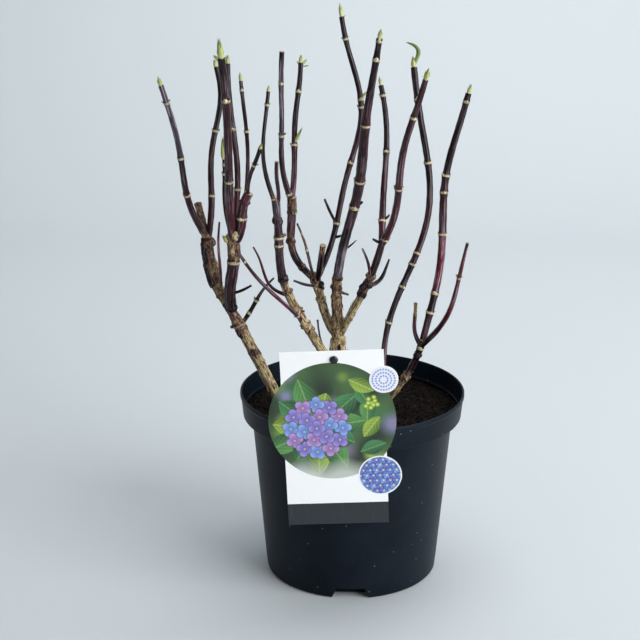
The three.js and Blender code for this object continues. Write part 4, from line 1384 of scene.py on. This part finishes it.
def lay_leaf(ink, x, z, foot, way, long, wide, colours):
    """A pointed leaf with a pale rib and side veins, drawn from its foot along an angle in degrees."""
    turn = math.radians(way)
    along = ((x - foot[0]) * math.cos(turn) + (z - foot[1]) * math.sin(turn)) / long
    across = -(x - foot[0]) * math.sin(turn) + (z - foot[1]) * math.cos(turn)
    half = wide * np.sin(np.pi * np.clip(along, 0, 1)) ** 0.8 * (1 + 0.04 * np.sin(70 * along))
    cover = half - np.abs(across)
    inside = (along > 0) & (along < 1)
    dark, light, rib = [shade(code) for code in colours]
    sheen = np.clip(0.5 + 0.5 * across / wide + 0.15 * np.sin(38 * along + 1.6 * np.abs(across)), 0, 1)
    ink = lay(ink, (cover + 0.5) * inside, dark * (1 - sheen[:, None]) + light * sheen[:, None])
    return lay(ink, (0.8 - np.abs(across)) * (cover > 0) * 0.8, rib)


def lay_floret(ink, x, z, middle, radius, turn, petals, eye):
    """Four round petals about a small eye, darker at the middle and paler at the rim."""
    dx, dz = x - middle[0], z - middle[1]
    reach = np.hypot(dx, dz)
    lobes = np.abs(np.cos(2 * (np.arctan2(dz, dx) - turn)))
    rim = radius * (0.55 + 0.45 * lobes**0.55)
    tone = np.clip(reach / radius, 0, 1)[:, None] ** 1.4 * (0.72 + 0.28 * lobes[:, None])
    ink = lay(ink, rim + 0.9 - reach, shade("#2b3550") * 0.9)
    ink = lay(ink, rim + 0.2 - reach, shade(petals[0]) * (1 - tone) + shade(petals[1]) * tone)
    return lay(ink, 1.4 - reach, shade(eye))


def paint_picture(x, z):
    """A garden picture of this library's own: one round blue head over crossed leaves, pale at its foot."""
    px, pz = x - PICTURE[0], z - PICTURE[1]
    wave = 0.5 + 0.25 * np.sin(px / 7 + np.sin(pz / 9)) + 0.25 * np.cos(pz / 8 + np.sin(px / 11) * 1.3)
    ink = shade("#233026") * (1 - wave[:, None]) + shade("#48683f") * wave[:, None]
    dice = np.random.default_rng(11)
    for _ in range(26):
        spot = dice.uniform(-58, 58, 2)
        soft = np.clip(1.3 - np.hypot(px - spot[0], pz - spot[1]) / dice.uniform(6, 15), 0, 1) ** 1.5
        ink = lay(ink, soft * 0.6, shade(dice.choice(SPOT_COLOURS)))
    for number in range(11):
        way = number * 360 / 11 + 9
        long = 34 + 9 * math.sin(number * 2.4)
        ink = lay_leaf(ink, x, z, round_from(FLOWER_HEAD, 13, way), way, long, 10.5, LEAF_GREENS[number % 3])
    for number in range(5):
        foot = (24 + 3.5 * number, 78 + 16 * number)
        ink = lay_leaf(ink, x, z, foot, 20 + 33 * number, 26, 7.5, LEAF_GREENS[(number + 1) % 3])
    for ring, count in ((2, 12), (1, 6), (0, 1)):
        for k in range(count):
            turn = math.tau * k / count + 0.26 * ring
            middle = round_from(FLOWER_HEAD, ring * FLORET_SPACING, math.degrees(turn))
            blues = FLORET_BLUES[(k + ring) % 3]
            ink = lay_floret(ink, x, z, middle, FLORET_RADIUS, turn * 1.7 + ring, blues, "#c9d977")
    for k in range(9):
        reach = 7 * (k / 9) ** 0.5
        berry = np.hypot(x - 36 - reach * math.sin(k * 2.4), z - 129 - reach * math.cos(k * 2.4))
        ink = lay(ink, 2.9 - berry, shade("#7d9a33"))
        ink = lay(ink, (2.0 - berry) * 0.8, shade("#d3e26a"))
    mist = np.clip((-40 - pz + 2.5 * np.sin(px / 6)) / 17, 0, 1)
    return lay(ink, mist * 0.85, shade("#c9d0c9"))


def paint_small_picture(x, z):
    """Rows of small blue four-petalled flowers on dark green, inside a white edge."""
    px, pz = x - SMALL_PICTURE[0], z - SMALL_PICTURE[1]
    ink = np.broadcast_to(shade("#26392f"), (len(x), 3))
    for row in range(-3, 4):
        for column in range(-3, 4):
            middle = (SMALL_PICTURE[0] + 6.4 * (column + 0.5 * (row % 2)), SMALL_PICTURE[1] + 5.6 * row)
            blues = SMALL_BLUES[(row * 2 + column) % 3]
            ink = lay_floret(ink, x, z, middle, 4.1, 0.6 * row + column, blues, "#dfe6a0")
    return lay(ink, (np.hypot(px, pz) - (SMALL_PICTURE[2] - WHITE_EDGE)) / 0.3, shade("#eef0f2"))


def paint_sticker(x, z):
    """Pale paper with three plain rings of blue dots."""
    px, pz = x - STICKER[0], z - STICKER[1]
    reach, turn = np.hypot(px, pz), np.arctan2(pz, px)
    ink = np.broadcast_to(shade("#e6e9f2"), (len(x), 3))
    for radius, count in ((10.6, 26), (7.3, 18), (4.0, 10)):
        beat = (turn / math.tau * count) % 1 - 0.5
        dot = np.hypot(reach - radius, beat * math.tau * radius / count)
        ink = lay(ink, (1.15 - dot) / 0.4, shade("#7e90cc"))
    return ink


def inked(piece, colours):
    """Gives each vertex its printed colour."""
    ink = piece.data.color_attributes.new("ink", "FLOAT_COLOR", "POINT")
    rows = np.ones((len(piece.data.vertices), 4))
    rows[:, :3] = np.clip(colours, 0, 1)
    ink.data.foreach_set("color", rows.ravel())
    return piece


def printed(name, spot, above, below, rings, sides, paint):
    """A thin printed plate, so far above and below the card's front and back."""
    piece = disc(name, spot, CARD_FRONT - above, CARD_BACK - below, sides, rings)
    places = np.array([vertex.co for vertex in piece.data.vertices]) / MM
    return inked(piece, paint(places[:, 0], places[:, 2]))


card_plastic, nodes = new_material("card_plastic")
finish = nodes.use(plastic_finish, grain=0.3, dust=0.15, scuffs=0.2)
white = nodes.mix("#f6f7f8", (nodes.scaled(finish["Speck"], 0.35), "#a9a59c"))
nodes.surface({"Base Color": white, "Roughness": 0.38}, finish["Height"], 0.01, 0.4)

card_ink, nodes = new_material("card_ink")
finish = nodes.use(plastic_finish, grain=0.3, dust=0.15, scuffs=0.3)
ink = nodes.mix(nodes.look("ink", "Color"), (nodes.scaled(finish["Scuff"], 0.1), "#d8dade"))
nodes.surface({"Base Color": ink, "Roughness": 0.3}, finish["Height"], 0.01, 0.4)

card = slab("label_card", (-CARD_WIDTH / 2, CARD_WIDTH / 2), (CARD_FRONT, CARD_BACK), (0, CARD_HEIGHT))
for number, lobe in enumerate(CARD_LOBES, 1):
    # each lobe a hair thicker than the last, so that no two faces of the union lie in one plane
    hair = 0.002 * number
    combine(card, disc("lobe", lobe, CARD_FRONT - hair, CARD_BACK + hair), "UNION")
combine(card, disc("peg_hole", (PEG_X, PEG_Z, PEG_HOLE_RADIUS), -3, 3, 32), "DIFFERENCE")
coat(card, card_plastic)

half_width = CARD_WIDTH / 2 + BAND_WRAP
band_plate = slab(
    "card_band", (-half_width, half_width), (CARD_FRONT - 0.03, CARD_BACK - 0.05), (-BAND_WRAP, BAND_HEIGHT))
prints = [
    inked(band_plate, shade("#22292e")),
    printed("card_picture", PICTURE, 0.05, 0.05, 100, 360, paint_picture),
    printed("card_small_picture", SMALL_PICTURE, 0.08, 0.05, 56, 180, paint_small_picture),
    printed("card_sticker", STICKER, 0.14, 0.2, 40, 150, paint_sticker),
]
for piece in prints:
    coat(piece, card_ink)
for piece in (card, *prints):
    piece.data.transform(card_stance)
    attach(piece, "root")
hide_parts("card")

# CARD PEG
# A black moulded peg: a flat blade pushed into the soil inside the lip, with a domed button on its neck
# that snaps through the card's hole.

PEG_NECK_RADIUS = 2.5
PEG_HEAD_RADIUS = 4
PEG_HEAD_FRONT = -3.3
PEG_HEAD_GAP = 0.25
PEG_RIM = 0.6
DOME_STEPS = 8
PEG_SIDES = 48
PEG_SHARP_ANGLE = 40
BLADE_WIDTH = 7
BLADE_THICKNESS = 3
BLADE_SETBACK = 3
BLADE_FOOT = (-12, -95)
BLADE_EDGE = 0.5

peg_plastic, nodes = new_material("peg_plastic")
finish = nodes.use(plastic_finish, grain=0.6, dust=0.4, scuffs=0.3)
black = nodes.mix(nodes.ramp(finish["Cloud"], (0.3, "#0d0f11"), (0.7, "#181b1e")),
                  (nodes.scaled(finish["Speck"], 0.4), "#6d6f70"))
nodes.surface({"Base Color": black, "Roughness": 0.35}, finish["Height"], 0.03, 0.5)

head_back = PEG_HEAD_GAP - CARD_FRONT
dome_foot = PEG_RIM - CARD_FRONT
peg_outline = [(0, -BLADE_SETBACK), (PEG_NECK_RADIUS, -BLADE_SETBACK), (PEG_NECK_RADIUS, head_back),
               (PEG_HEAD_RADIUS - 0.3, head_back)]
for k in range(DOME_STEPS):
    lift = math.pi / 2 * k / DOME_STEPS
    height = dome_foot + (-PEG_HEAD_FRONT - dome_foot) * math.sin(lift)
    peg_outline.append((PEG_HEAD_RADIUS * math.cos(lift), height))
peg = turned("card_peg_moulding", [*peg_outline, (0, -PEG_HEAD_FRONT)], PEG_SIDES)
in_hole = Matrix.Translation((PEG_X * MM, 0, PEG_Z * MM))
peg.data.transform(card_stance @ in_hole @ Matrix.Rotation(math.pi / 2, 4, "X"))

blade_top = card_stance @ (Vector((PEG_X, BLADE_SETBACK, PEG_Z + BLADE_WIDTH / 2)) * MM)
blade_foot = Vector((*BLADE_FOOT, SOIL_TOP - ROOT_DEPTH)) * MM
rise = blade_top - blade_foot
blade = slab("peg_blade", (-BLADE_WIDTH / 2, BLADE_WIDTH / 2), (-BLADE_THICKNESS / 2, BLADE_THICKNESS / 2),
             (0, rise.length / MM))
soften = blade.modifiers.new("soften", "BEVEL")
soften.width = BLADE_EDGE * MM
soften.segments = 3
settled(blade)
up = rise.normalized()
side = (Vector((1, 0, 0)) - up * up.x).normalized()
stance = Matrix((side, up.cross(side), up)).transposed().to_4x4()
stance.translation = blade_foot
blade.data.transform(stance)
combine(peg, blade, "UNION")
shade_by_angle(peg, PEG_SHARP_ANGLE)
coat(peg, peg_plastic)
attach(peg, "root")
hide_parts("card_peg")

# STUDIO
# A pale floor that runs on as a pale wall, a large soft light from the right and above, and a fill.

CAMERA_PLACE = (0.0, -1.4734, 0.7459)
CAMERA_AIM = (-0.033, 0.0, 0.268)
CAMERA_LENS = 86.0
PLANT_MIDDLE = (0, 0, 0.3)
AIR_STRENGTH = 0.23
FLOOR_SIZE = 4.0
SWEEP_START = 1.3  # behind the plant, where the floor starts to curve up
SWEEP_RADIUS = 0.9
SWEEP_STEPS = 24
WALL_TOP = 4.0

sweep = [(-FLOOR_SIZE, 0.0), (SWEEP_START, 0.0)]
for k in range(1, SWEEP_STEPS + 1):
    turn = math.pi / 2 * k / SWEEP_STEPS
    sweep.append((SWEEP_START + SWEEP_RADIUS * math.sin(turn), SWEEP_RADIUS * (1 - math.cos(turn))))
sweep.append((SWEEP_START + SWEEP_RADIUS, WALL_TOP))
corners = [(side * FLOOR_SIZE, y, z) for y, z in sweep for side in (-1, 1)]
strips_of_floor = [(k, k + 1, k + 3, k + 2) for k in range(0, len(corners) - 2, 2)]
floor = mesh_object("floor", corners, strips_of_floor)
wall_paint, nodes = new_material("pale_floor")
nodes.surface({"Base Color": "#c6cdd1", "Roughness": 0.8})
coat(floor, wall_paint)

scene = bpy.context.scene
scene.world = bpy.data.worlds.new("studio_air")
scene.world.use_nodes = True
air = scene.world.node_tree.nodes["Background"].inputs
air["Color"].default_value = linear("#dfe5ea")
air["Strength"].default_value = AIR_STRENGTH


def aimed(name, data, place, aim):
    """A light or the camera at its place, turned towards its aim."""
    holder = new_object(name, data)
    holder.location = place
    holder.rotation_euler = (Vector(aim) - Vector(place)).to_track_quat("-Z", "Y").to_euler()
    return holder


for name, place, aim, size, power in (
    ("window_light", (1.8, -1.35, 1.05), PLANT_MIDDLE, 1.9, 77.0),
    ("fill_light", (-1.8, -1.6, 1.2), PLANT_MIDDLE, 1.8, 1.5),
    ("wall_light", (0.3, 0.8, 2.4), (-0.2, 2.2, 0.5), 2.4, 48.0),
):
    light = bpy.data.lights.new(name, "AREA")
    light.shape = "SQUARE"
    light.size = size
    light.energy = power
    aimed(name, light, place, aim)

camera = bpy.data.cameras.new("camera")
camera.lens = CAMERA_LENS
camera.sensor_fit = "HORIZONTAL"
scene.camera = aimed("camera", camera, CAMERA_PLACE, CAMERA_AIM)
scene.view_settings.view_transform = "Standard"
